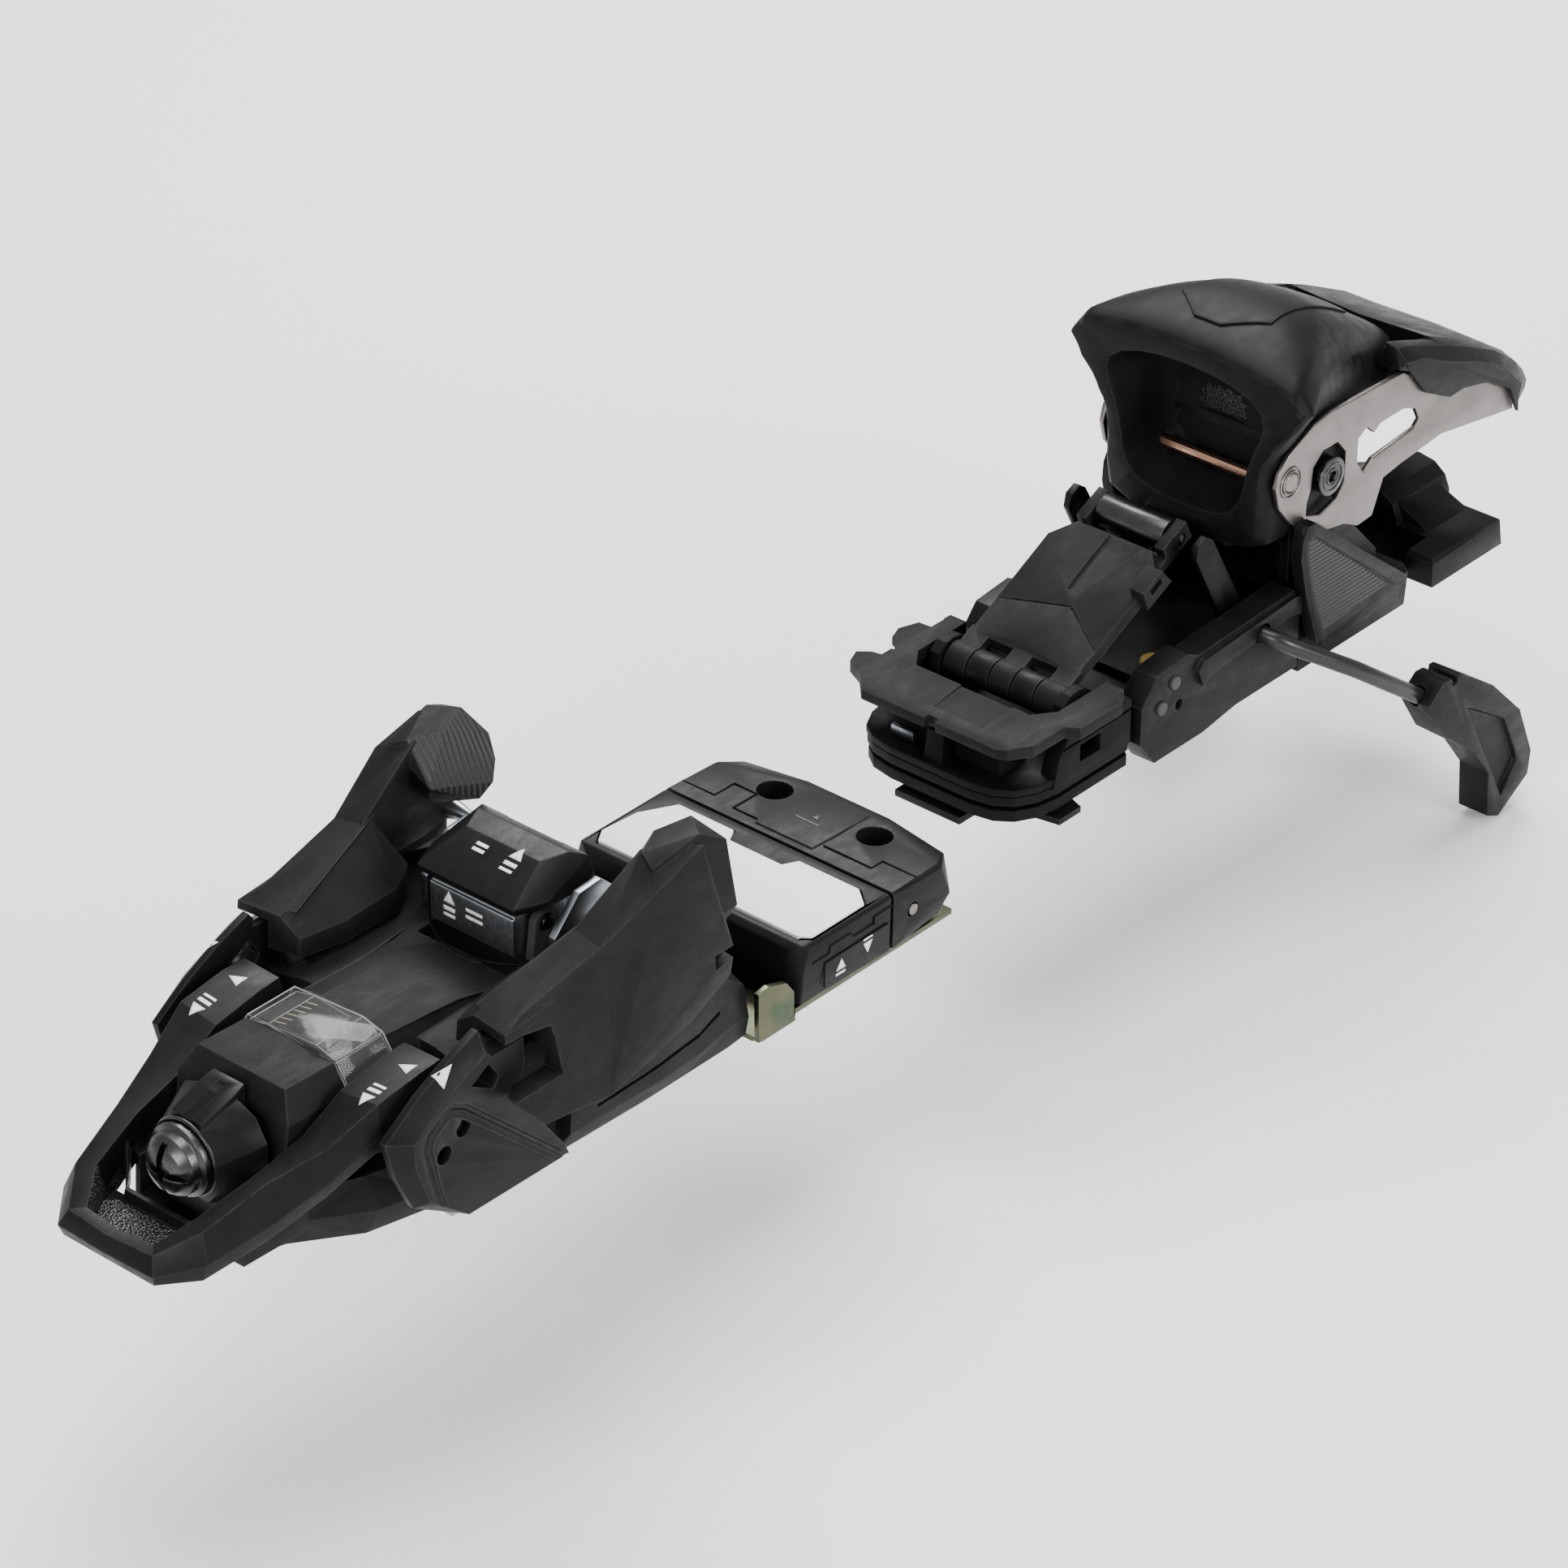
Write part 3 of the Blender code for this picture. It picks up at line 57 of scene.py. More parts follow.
class Tree:
    """Short calls for a material's nodes."""

    def __init__(self, name):
        self.mat = bpy.data.materials.new(name)
        self.mat.use_nodes = True
        self.nt = self.mat.node_tree
        self.shader = self.nt.nodes["Principled BSDF"]
        self.place = self.nt.nodes.new("ShaderNodeTexCoord").outputs["Object"]

    def node(self, kind, **inputs):
        n = self.nt.nodes.new(kind)
        for key, value in inputs.items():
            n.inputs[key.replace("_", " ")].default_value = value
        return n

    def link(self, a, b):
        self.nt.links.new(a, b)

    def noise(self, scale, detail=3.0, rough=0.55, stretch=None, distortion=0.0):
        n = self.node("ShaderNodeTexNoise", Scale=scale, Detail=detail, Roughness=rough, Distortion=distortion)
        source = self.place
        if stretch:
            m = self.nt.nodes.new("ShaderNodeMapping")
            m.inputs["Scale"].default_value = stretch
            self.link(self.place, m.inputs["Vector"])
            source = m.outputs["Vector"]
        self.link(source, n.inputs["Vector"])
        return n.outputs["Fac"]

    def cells(self, scale, feature="F1", stretch=None):
        n = self.nt.nodes.new("ShaderNodeTexVoronoi")
        n.feature = feature
        n.inputs["Scale"].default_value = scale
        source = self.place
        if stretch:
            m = self.nt.nodes.new("ShaderNodeMapping")
            m.inputs["Scale"].default_value = stretch
            self.link(self.place, m.inputs["Vector"])
            source = m.outputs["Vector"]
        self.link(source, n.inputs["Vector"])
        return n.outputs["Distance"]

    def spread(self, value, a0, a1, b0, b1):
        n = self.nt.nodes.new("ShaderNodeMapRange")
        n.clamp = True
        for key, x in zip(("From Min", "From Max", "To Min", "To Max"), (a0, a1, b0, b1)):
            n.inputs[key].default_value = x
        self.link(value, n.inputs["Value"])
        return n.outputs["Result"]

    def maths(self, op, a, b):
        n = self.nt.nodes.new("ShaderNodeMath")
        n.operation = op
        for i, x in enumerate((a, b)):
            if isinstance(x, (int, float)):
                n.inputs[i].default_value = x
            else:
                self.link(x, n.inputs[i])
        return n.outputs[0]

    def mix(self, fac, a, b):
        n = self.nt.nodes.new("ShaderNodeMix")
        n.data_type = "RGBA"
        for sock, x in ((n.inputs[0], fac), (n.inputs[6], a), (n.inputs[7], b)):
            if isinstance(x, (int, float)):
                sock.default_value = x
            elif isinstance(x, tuple):
                sock.default_value = (*x, 1.0) if len(x) == 3 else x
            else:
                self.link(x, sock)
        return n.outputs[2]

    def bump(self, height, strength, distance):
        n = self.nt.nodes.new("ShaderNodeBump")
        n.inputs["Strength"].default_value = strength
        n.inputs["Distance"].default_value = distance
        self.link(height, n.inputs["Height"])
        self.link(n.outputs["Normal"], self.shader.inputs["Normal"])

    def edges(self, radius=0.0006, lo=0.02, hi=0.35):
        """High along the solid's outer edges: the mask that paints them paler, partly as wear and partly as a painted
        highlight.
        """
        b = self.nt.nodes.new("ShaderNodeBevel")
        b.samples = 4
        b.inputs["Radius"].default_value = radius
        g = self.nt.nodes.new("ShaderNodeNewGeometry")
        d = self.nt.nodes.new("ShaderNodeVectorMath")
        d.operation = "DOT_PRODUCT"
        self.link(b.outputs["Normal"], d.inputs[0])
        self.link(g.outputs["Normal"], d.inputs[1])
        return self.spread(self.maths("SUBTRACT", 1.0, d.outputs["Value"]), lo * 0.1, hi * 0.1, 0.0, 1.0)


def moulded(name, dark, pale, rough, grain=2200.0, grain_depth=0.00006, grain_strength=0.35, edge=0.5, smear=0.5, speck=0.0):
    """Moulded plastic: two blacks clouded together, a fine grain, edges painted paler as wear and as a painted
    highlight.
    """
    t = Tree(name)
    s = t.shader
    cloud = t.spread(t.noise(90.0, 4.0, 0.6), 0.35, 0.7, 0.0, 1.0)
    fine = t.noise(grain, 3.0, 0.6)
    colour = t.mix(cloud, dark, pale)
    if speck:
        dots = t.spread(t.noise(grain * 0.8, 2.0, 0.7), 0.62, 0.74, 0.0, speck)
        colour = t.mix(dots, colour, tuple(min(1.0, c * 3.5 + 0.01) for c in pale))
    # Edges painted paler: partly rubbed wear, partly a painted highlight along the rounded edges.
    if edge:
        paler_blend = t.maths("MULTIPLY", t.edges(), t.spread(t.noise(400.0, 3.0), 0.3, 0.65, 0.25 * edge, edge))
        colour = t.mix(paler_blend, colour, tuple(min(1.0, c * 2.6 + 0.018) for c in pale))
    t.link(colour, s.inputs["Base Color"])
    scuff = t.spread(t.noise(260.0, 5.0, 0.65, stretch=(1.0, 0.35, 1.0), distortion=0.6), 0.4, 0.68, rough + 0.07, rough - 0.10 * smear)
    t.link(t.maths("ADD", scuff, t.spread(fine, 0.3, 0.7, -0.05, 0.05)), s.inputs["Roughness"])
    s.inputs["Specular IOR Level"].default_value = 0.42 if rough < 0.3 else 0.115
    t.bump(fine, grain_strength, grain_depth)
    return t.mat


def steel(name, colour, tint, rough, brush=(1.0, 14.0, 1.0), depth=0.000012, metallic=1.0, strength=0.25, scale=900.0):
    """Metal with the direction its sheet was rolled or turned in."""
    t = Tree(name)
    s = t.shader
    s.inputs["Metallic"].default_value = metallic
    lines = t.noise(scale, 4.0, 0.7, stretch=brush)
    cloud = t.spread(t.noise(120.0, 3.0), 0.35, 0.7, 0.0, 1.0)
    t.link(t.mix(t.maths("MULTIPLY", cloud, t.spread(lines, 0.3, 0.7, 0.4, 1.0)), colour, tint), s.inputs["Base Color"])
    t.link(t.spread(lines, 0.3, 0.7, rough - 0.06, rough + 0.10), s.inputs["Roughness"])
    t.bump(lines, strength, depth)
    return t.mat


def clear_plastic(name):
    t = Tree(name)
    s = t.shader
    haze = t.noise(600.0, 3.0)
    s.inputs["Base Color"].default_value = (0.10, 0.105, 0.105, 1.0)
    s.inputs["IOR"].default_value = 1.46
    t.link(t.spread(t.noise(40.0, 2.0), 0.35, 0.7, 0.17, 0.24), s.inputs["Alpha"])
    s.inputs["Specular IOR Level"].default_value = 0.8
    t.link(t.spread(haze, 0.35, 0.7, 0.05, 0.16), s.inputs["Roughness"])
    t.bump(t.noise(60.0, 2.0), 0.3, 0.0002)
    return t.mat


def crackle(name):
    """The glossy, pebbled floor of the lever's pole dimple."""
    t = Tree(name)
    s = t.shader
    cells = t.cells(1500.0)
    t.link(t.mix(t.spread(cells, 0.1, 0.8, 0.0, 1.0), (0.022, 0.022, 0.023), (0.006, 0.006, 0.006)), s.inputs["Base Color"])
    t.link(t.spread(t.noise(900.0, 3.0), 0.3, 0.7, 0.16, 0.42), s.inputs["Roughness"])
    t.bump(cells, 1.0, 0.00035)
    return t.mat


def printed(name, colour, rough=0.45):
    """Pad-printed ink with a slightly broken surface."""
    t = Tree(name)
    s = t.shader
    paler_blend = t.spread(t.noise(2600.0, 4.0, 0.7), 0.36, 0.5, 0.0, 1.0)
    t.link(t.mix(paler_blend, tuple(c * 0.72 for c in colour), colour), s.inputs["Base Color"])
    t.link(t.spread(t.noise(900.0), 0.3, 0.7, rough - 0.05, rough + 0.1), s.inputs["Roughness"])
    return t.mat


def cup_shell(name):
    """Moulded black with a woven patch showing through on each shoulder."""
    t = Tree(name)
    s = t.shader
    parts = t.nt.nodes.new("ShaderNodeSeparateXYZ")
    t.link(t.place, parts.inputs[0])
    lean = t.maths("ADD", parts.outputs["Y"], t.maths("MULTIPLY", parts.outputs["Z"], 0.35))
    inside = t.maths("MULTIPLY", t.spread(lean, 0.2795, 0.2800, 0.0, 1.0), t.spread(lean, 0.3045, 0.3050, 1.0, 0.0))
    high = t.maths("MULTIPLY", t.spread(parts.outputs["Z"], 0.0716, 0.0720, 0.0, 1.0), t.spread(parts.outputs["Z"], 0.0866, 0.0870, 1.0, 0.0))
    mask = t.maths("MULTIPLY", inside, high)
    check = t.nt.nodes.new("ShaderNodeTexChecker")
    check.inputs["Scale"].default_value = 300.0
    check.inputs["Color1"].default_value = (0.0085, 0.0085, 0.009, 1)
    check.inputs["Color2"].default_value = (0.0035, 0.0035, 0.0037, 1)
    turn = t.nt.nodes.new("ShaderNodeMapping")
    turn.inputs["Rotation"].default_value = (math.radians(38), 0.2, 0.0)
    t.link(t.place, turn.inputs["Vector"])
    t.link(turn.outputs["Vector"], check.inputs["Vector"])
    cloud = t.spread(t.noise(90.0, 4.0, 0.6), 0.35, 0.7, 0.0, 1.0)
    plain = t.mix(cloud, (0.0045, 0.0045, 0.0048), (0.0085, 0.0085, 0.009))
    # Edges painted paler: partly rubbed wear, partly a painted highlight along the rounded edges.
    paler_blend = t.maths("MULTIPLY", t.edges(), t.spread(t.noise(400.0, 3.0), 0.3, 0.65, 0.12, 0.5))
    plain = t.mix(paler_blend, plain, (0.038, 0.038, 0.039))
    t.link(t.mix(mask, plain, check.outputs["Color"]), s.inputs["Base Color"])
    scuff = t.spread(t.noise(260.0, 5.0, 0.65, stretch=(1.0, 0.35, 1.0), distortion=0.6), 0.4, 0.68, 0.52, 0.42)
    t.link(t.maths("SUBTRACT", scuff, t.maths("MULTIPLY", mask, 0.06)), s.inputs["Roughness"])
    s.inputs["Specular IOR Level"].default_value = 0.09
    t.bump(t.noise(1900.0, 3.0, 0.6), 0.35, 0.00003)
    return t.mat


MATS = {
    "black_plastic": moulded("black_plastic", (0.0040, 0.0040, 0.0042), (0.0075, 0.0075, 0.0079), 0.42, grain=1900.0, grain_depth=0.00003, edge=0.7),
    "matte_plastic": moulded("matte_plastic", (0.0054, 0.0054, 0.0057), (0.0098, 0.0098, 0.0102), 0.55, grain=2500.0, grain_depth=0.00006, grain_strength=0.5, edge=0.55, speck=0.25),
    "gloss_plastic": moulded("gloss_plastic", (0.006, 0.006, 0.0065), (0.010, 0.010, 0.0105), 0.26, grain=700.0, grain_depth=0.000012, grain_strength=0.12, edge=0.12, smear=0.3),
    "clear_window": clear_plastic("clear_window"),
    "zinc_steel": steel("zinc_steel", (0.30, 0.32, 0.335), (0.20, 0.235, 0.265), 0.32),
    "satin_steel": steel("satin_steel", (0.225, 0.205, 0.195), (0.17, 0.155, 0.148), 0.38, brush=(1.0, 1.0, 9.0), depth=0.000010),
    "dark_steel": steel("dark_steel", (0.085, 0.085, 0.09), (0.045, 0.045, 0.048), 0.30, brush=(1.0, 1.0, 1.0), scale=1800.0),
    "brass_steel": steel("brass_steel", (0.12, 0.112, 0.07), (0.03, 0.07, 0.042), 0.30, brush=(1.0, 8.0, 1.0)),
    "copper": steel("copper", (0.66, 0.40, 0.28), (0.56, 0.31, 0.21), 0.22, brush=(1.0, 2.0, 2.0), depth=0.000002, strength=0.1, scale=500.0),
    "white_pad": moulded("white_pad", (0.88, 0.88, 0.885), (0.92, 0.92, 0.925), 0.52, grain=1500.0, grain_depth=0.00003, edge=0.0),
    "amber_rubber": moulded("amber_rubber", (0.30, 0.19, 0.045), (0.44, 0.30, 0.08), 0.46, grain=1200.0, edge=0.2),
    "black_wire": moulded("black_wire", (0.007, 0.007, 0.0075), (0.012, 0.012, 0.0125), 0.26, grain=3000.0, grain_depth=0.00001, grain_strength=0.1, edge=0.0, smear=0.2),
    "crackle": crackle("crackle"),
    "black_steel": steel("black_steel", (0.020, 0.020, 0.022), (0.010, 0.010, 0.011), 0.42, brush=(1.0, 1.0, 1.0), scale=1800.0),
    "zinc_block": steel("zinc_block", (0.44, 0.465, 0.48), (0.27, 0.31, 0.34), 0.34),
    "satin_black": moulded("satin_black", (0.0045, 0.0045, 0.0048), (0.0075, 0.0075, 0.008), 0.36, grain=1500.0, grain_depth=0.00002, grain_strength=0.2, edge=0.3, smear=0.4),
    "zinc_dull": moulded("zinc_dull", (0.035, 0.036, 0.037), (0.055, 0.056, 0.058), 0.45, edge=0.0),
    # Light grey for the strips along the window's edges: a painted highlight.
    "window_edge_highlight": moulded("window_edge_highlight", (0.20, 0.21, 0.21), (0.34, 0.35, 0.35), 0.25, edge=0.0),
    "white_ink": printed("white_ink", (0.82, 0.82, 0.83)),
    "gold_ink": printed("gold_ink", (0.46, 0.36, 0.20)),
    "grey_ink": printed("grey_ink", (0.030, 0.031, 0.031)),
    "cup_shell": cup_shell("cup_shell"),
    "shadow": moulded("shadow", (0.002, 0.002, 0.002), (0.003, 0.003, 0.003), 0.6, edge=0.0),
}

# ------------------------------------------------------------------ mesh tools


def v(p):
    return Vector(p) * MM


def finish_mesh(obj, smooth=34):
    obj.data.shade_smooth()
    obj.data.set_sharp_from_angle(angle=math.radians(smooth))
    return obj


def new_obj(name, bm, mat, smooth=34, recalc=True):
    if recalc:
        bmesh.ops.recalc_face_normals(bm, faces=bm.faces)
    mesh = bpy.data.meshes.new(name)
    bm.to_mesh(mesh)
    bm.free()
    obj = bpy.data.objects.new(name, mesh)
    bpy.context.scene.collection.objects.link(obj)
    obj.data.materials.append(MATS[mat] if isinstance(mat, str) else mat)
    return finish_mesh(obj, smooth)


def bake_modifiers(obj):
    """The object's modifiers applied to its mesh."""
    bpy.context.view_layer.update()
    graph = bpy.context.evaluated_depsgraph_get()
    mesh = bpy.data.meshes.new_from_object(obj.evaluated_get(graph), depsgraph=graph)
    old = obj.data
    obj.modifiers.clear()
    obj.data = mesh
    bpy.data.meshes.remove(old)
    return obj


def clean(obj, angle=0.6):
    bm = bmesh.new()
    bm.from_mesh(obj.data)
    bmesh.ops.remove_doubles(bm, verts=bm.verts, dist=2e-6)
    bmesh.ops.dissolve_degenerate(bm, edges=bm.edges, dist=1e-6)
    bmesh.ops.dissolve_limit(bm, angle_limit=math.radians(angle), verts=bm.verts, edges=bm.edges)
    bm.to_mesh(obj.data)
    bm.free()
    return obj


def soften(obj, width=0.4, angle=24, segments=2, smooth=34):
    """Rounded edges, as a mould or a press leaves them."""
    clean(obj)
    mod = obj.modifiers.new("soften", "BEVEL")
    mod.width = width * MM
    mod.segments = segments
    mod.limit_method = "ANGLE"
    mod.angle_limit = math.radians(angle)
    mod.harden_normals = False
    mod.use_clamp_overlap = True
    bake_modifiers(obj)
    return finish_mesh(obj, smooth)


def boolean(obj, operation, *tools, keep=False):
    for tool in tools:
        mod = obj.modifiers.new("b", "BOOLEAN")
        mod.operation = operation
        mod.object = tool
        mod.solver = "EXACT"
    bake_modifiers(obj)
    for tool in tools:
        if not keep:
            data = tool.data
            bpy.data.objects.remove(tool)
            bpy.data.meshes.remove(data)
    return obj


def cut(obj, *tools):
    return boolean(obj, "DIFFERENCE", *tools)


def join(obj, *tools):
    return boolean(obj, "UNION", *tools)


def take(node, mat=None, name=None):
    """A free copy of a CAD node's mesh, to finish and to show in its place."""
    obj = bpy.data.objects.new((name or node) + "_finished", NODES[node].data.copy())
    obj.data.name = obj.name
    bpy.context.scene.collection.objects.link(obj)
    obj.data.materials.clear()
    obj.data.materials.append(MATS[mat or SLOT_OF[node]])
    if obj.data.has_custom_normals:
        with bpy.context.temp_override(object=obj, active_object=obj, selected_objects=[obj]):
            bpy.ops.mesh.customdata_custom_splitnormals_clear()
    obj["of_node"] = node
    return clean(obj)


def show(obj, *nodes):
    """The piece rides on its node's body and stands for the node."""
    nodes = nodes or (obj["of_node"],)
    if "of_node" in obj:
        del obj["of_node"]
    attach(obj, BODY_OF[nodes[0]])
    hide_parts(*nodes)
    return obj


def detail(obj, node):
    """A small piece that rides with this node's body."""
    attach(obj, BODY_OF[node])
    return obj


def hull(name, points, mat="shadow", mirror=True, smooth=34):
    bm = bmesh.new()
    for p in points:
        bm.verts.new(v(p))
        if mirror and abs(p[0]) > 1e-6:
            bm.verts.new(v((-p[0], p[1], p[2])))
    made = bmesh.ops.convex_hull(bm, input=bm.verts)
    inside = [g for g in made["geom_interior"] + made["geom_unused"] if isinstance(g, bmesh.types.BMVert) and g.is_valid]
    bmesh.ops.delete(bm, geom=list(set(inside)), context="VERTS")
    bmesh.ops.dissolve_limit(bm, angle_limit=0.01, verts=bm.verts, edges=bm.edges)
    return new_obj(name, bm, mat, smooth)


def box(name, x, y, z, mat="shadow"):
    return hull(name, [(a, b, c) for a in x for b in y for c in z], mat, mirror=False)


AXES = {"X": Matrix.Rotation(math.pi / 2, 4, "Y"), "Y": Matrix.Rotation(-math.pi / 2, 4, "X"), "Z": Matrix.Identity(4)}


def cyl(name, axis, centre, lo, hi, r, mat="shadow", r2=None, n=28):
    mid = (lo + hi) / 2
    c = {"X": (mid, *centre), "Y": (centre[0], mid, centre[1]), "Z": (*centre, mid)}[axis]
    bm = bmesh.new()
    bmesh.ops.create_cone(bm, cap_ends=True, segments=n, radius1=r * MM, radius2=(r if r2 is None else r2) * MM,
                          depth=(hi - lo) * MM, matrix=Matrix.Translation(v(c)) @ AXES[axis])
    return new_obj(name, bm, mat)


def prism(name, plane, points, lo, hi, mat="shadow", smooth=34):
    """A flat outline between two levels. plane YZ runs along X, XZ along Y, XY along Z."""
    def at(a, b, c):
        return {"YZ": (c, a, b), "XZ": (a, c, b), "XY": (a, b, c)}[plane]
    bm = bmesh.new()
    low = [bm.verts.new(v(at(a, b, lo))) for a, b in points]
    high = [bm.verts.new(v(at(a, b, hi))) for a, b in points]
    bm.faces.new(low)
    bm.faces.new(high)
    for i in range(len(points)):
        j = (i + 1) % len(points)
        bm.faces.new((low[i], low[j], high[j], high[i]))
    return new_obj(name, bm, mat, smooth)


def loft(name, rings, mat="shadow", caps=(True, True), smooth=34, tri=False):
    bm = bmesh.new()
    rows = [[bm.verts.new(v(p)) for p in ring] for ring in rings]
    count = len(rows[0])
    for a, b in zip(rows, rows[1:]):
        for i in range(count):
            j = (i + 1) % count
            bm.faces.new((a[i], a[j], b[j], b[i]))
    if caps[0]:
        bm.faces.new(rows[0])
    if caps[1]:
        bm.faces.new(rows[-1])
    if tri:
        bmesh.ops.triangulate(bm, faces=bm.faces)
    return new_obj(name, bm, mat, smooth)


def symmetric_loft(name, stations, mat="shadow", **k):
    rings = []
    for y, half in stations:
        right = [(x, y, z) for x, z in half]
        left = [(-x, y, z) for x, z in reversed(half) if abs(x) > 1e-6]
        rings.append(right + left)
    return loft(name, rings, mat, **k)


def tube(name, points, r, mat, n=14, closed=False):
    """A round rod through these points, each ring square to the path."""
    pts = [v(p) for p in points]
    bm = bmesh.new()
    rows = []
    up = None
    for i, p in enumerate(pts):
        a = pts[i - 1] if i or closed else p
        b = pts[(i + 1) % len(pts)] if i + 1 < len(pts) or closed else p
        t = (b - a).normalized()
        if up is None:
            up = t.orthogonal().normalized()
        side = t.cross(up).normalized()
        up = side.cross(t).normalized()
        rows.append([bm.verts.new(p + (math.cos(k * 2 * math.pi / n) * up + math.sin(k * 2 * math.pi / n) * side) * r * MM) for k in range(n)])
    pairs = list(zip(rows, rows[1:])) + ([(rows[-1], rows[0])] if closed else [])
    for a, b in pairs:
        for i in range(n):
            bm.faces.new((a[i], a[(i + 1) % n], b[(i + 1) % n], b[i]))
    if not closed:
        bm.faces.new(rows[0])
        bm.faces.new(rows[-1])
    return new_obj(name, bm, mat, 50)


def ring(name, axis, centre, level, r, wire, mat, n=48):
    pts = []
    for i in range(n):
        a = 2 * math.pi * i / n
        c, s = r * math.cos(a), r * math.sin(a)
        pts.append({"X": (level, centre[0] + c, centre[1] + s), "Y": (centre[0] + c, level, centre[1] + s), "Z": (centre[0] + c, centre[1] + s, level)}[axis])
    return tube(name, pts, wire, mat, n=8, closed=True)


def merge(name, objs, mat=None):
    """Several loose shapes as one mesh."""
    bm = bmesh.new()
    for o in objs:
        bm.from_mesh(o.data)
    material = MATS[mat] if mat else objs[0].data.materials[0]
    made = new_obj(name, bm, material, recalc=False)
    for o in objs:
        data = o.data
        bpy.data.objects.remove(o)
        bpy.data.meshes.remove(data)
    return made


def thicken(obj, depth=0.06):
    """A skin of ink: the flat mark closed into a thin solid."""
    mod = obj.modifiers.new("ink", "SOLIDIFY")
    mod.thickness = depth * MM
    mod.offset = 0.0
    return bake_modifiers(obj)


def print_on(name, target, polygons, origin, across, along, node, mat="white_ink", lift=0.05, step=1.2):
    """Flat marks laid onto a surface: polygons are in (across, along) millimetres from origin, dropped along the
    surface's inward direction."""
    o, a, b = v(origin), Vector(across).normalized(), Vector(along).normalized()
    down = a.cross(b).normalized()
    bm0 = bmesh.new()
    bm0.from_mesh(target.data)
    tree = BVHTree.FromBMesh(bm0)
    bm0.free()
    bm = bmesh.new()
    for poly in polygons:
        verts = [bm.verts.new(o + a * x * MM + b * y * MM) for x, y in poly]
        face = bm.faces.new(verts)
        made = bmesh.ops.triangulate(bm, faces=[face])
    for _ in range(3):
        long_edges = [e for e in bm.edges if e.calc_length() > step * MM]
        if not long_edges:
            break
        bmesh.ops.subdivide_edges(bm, edges=long_edges, cuts=1)
        bmesh.ops.triangulate(bm, faces=bm.faces)
    for vert in list(bm.verts):
        hit, normal, _, _ = tree.ray_cast(vert.co + down * 0.02, -down)
        if hit is None:
            hit, normal, _, _ = tree.find_nearest(vert.co)
        vert.co = hit + normal * lift * MM
    for f in bm.faces:
        f.normal_update()
        if f.normal.dot(down) < 0:
            f.normal_flip()
    obj = thicken(new_obj(name, bm, mat, 60, recalc=False))
    return detail(obj, node)


def rotated(obj, angle_deg, axis, centre):
    c = v(centre)
    obj.data.transform(Matrix.Translation(c) @ Matrix.Rotation(math.radians(angle_deg), 4, axis) @ Matrix.Translation(-c))
    return obj


def mirror_x(points, s):
    return [(s * p[0], *p[1:]) for p in points]


def solid(name, points, s, mat="matte_plastic"):
    return hull(name, mirror_x(points, s), mat, mirror=False)


# ------------------------------------------------------------ toe: the wings
def ribbed(name, way="Y", scale=210.0):
    """Matte plastic with fine upright ribs, as on the jaws' gripping faces."""
    t = Tree(name)
    s = t.shader
    wave = t.nt.nodes.new("ShaderNodeTexWave")
    wave.wave_type = "BANDS"
    wave.bands_direction = way
    wave.inputs["Scale"].default_value = scale
    t.link(t.place, wave.inputs["Vector"])
    fine = t.noise(2500.0, 3.0, 0.6)
    # The grooves between the ribs are painted darker and the crests lighter, following the bump: painted shade and
    # painted highlight.
    t.link(t.mix(t.spread(wave.outputs["Fac"], 0.2, 0.8, 0.0, 1.0), (0.0055, 0.0055, 0.006), (0.012, 0.012, 0.0125)), s.inputs["Base Color"])
    t.link(t.spread(fine, 0.3, 0.7, 0.46, 0.62), s.inputs["Roughness"])
    t.bump(wave.outputs["Fac"], 0.9, 0.0003)
    return t.mat


MATS["ribbed"] = ribbed("ribbed")
MATS["ribbed_fin"] = ribbed("ribbed_fin", "Z", 260.0)

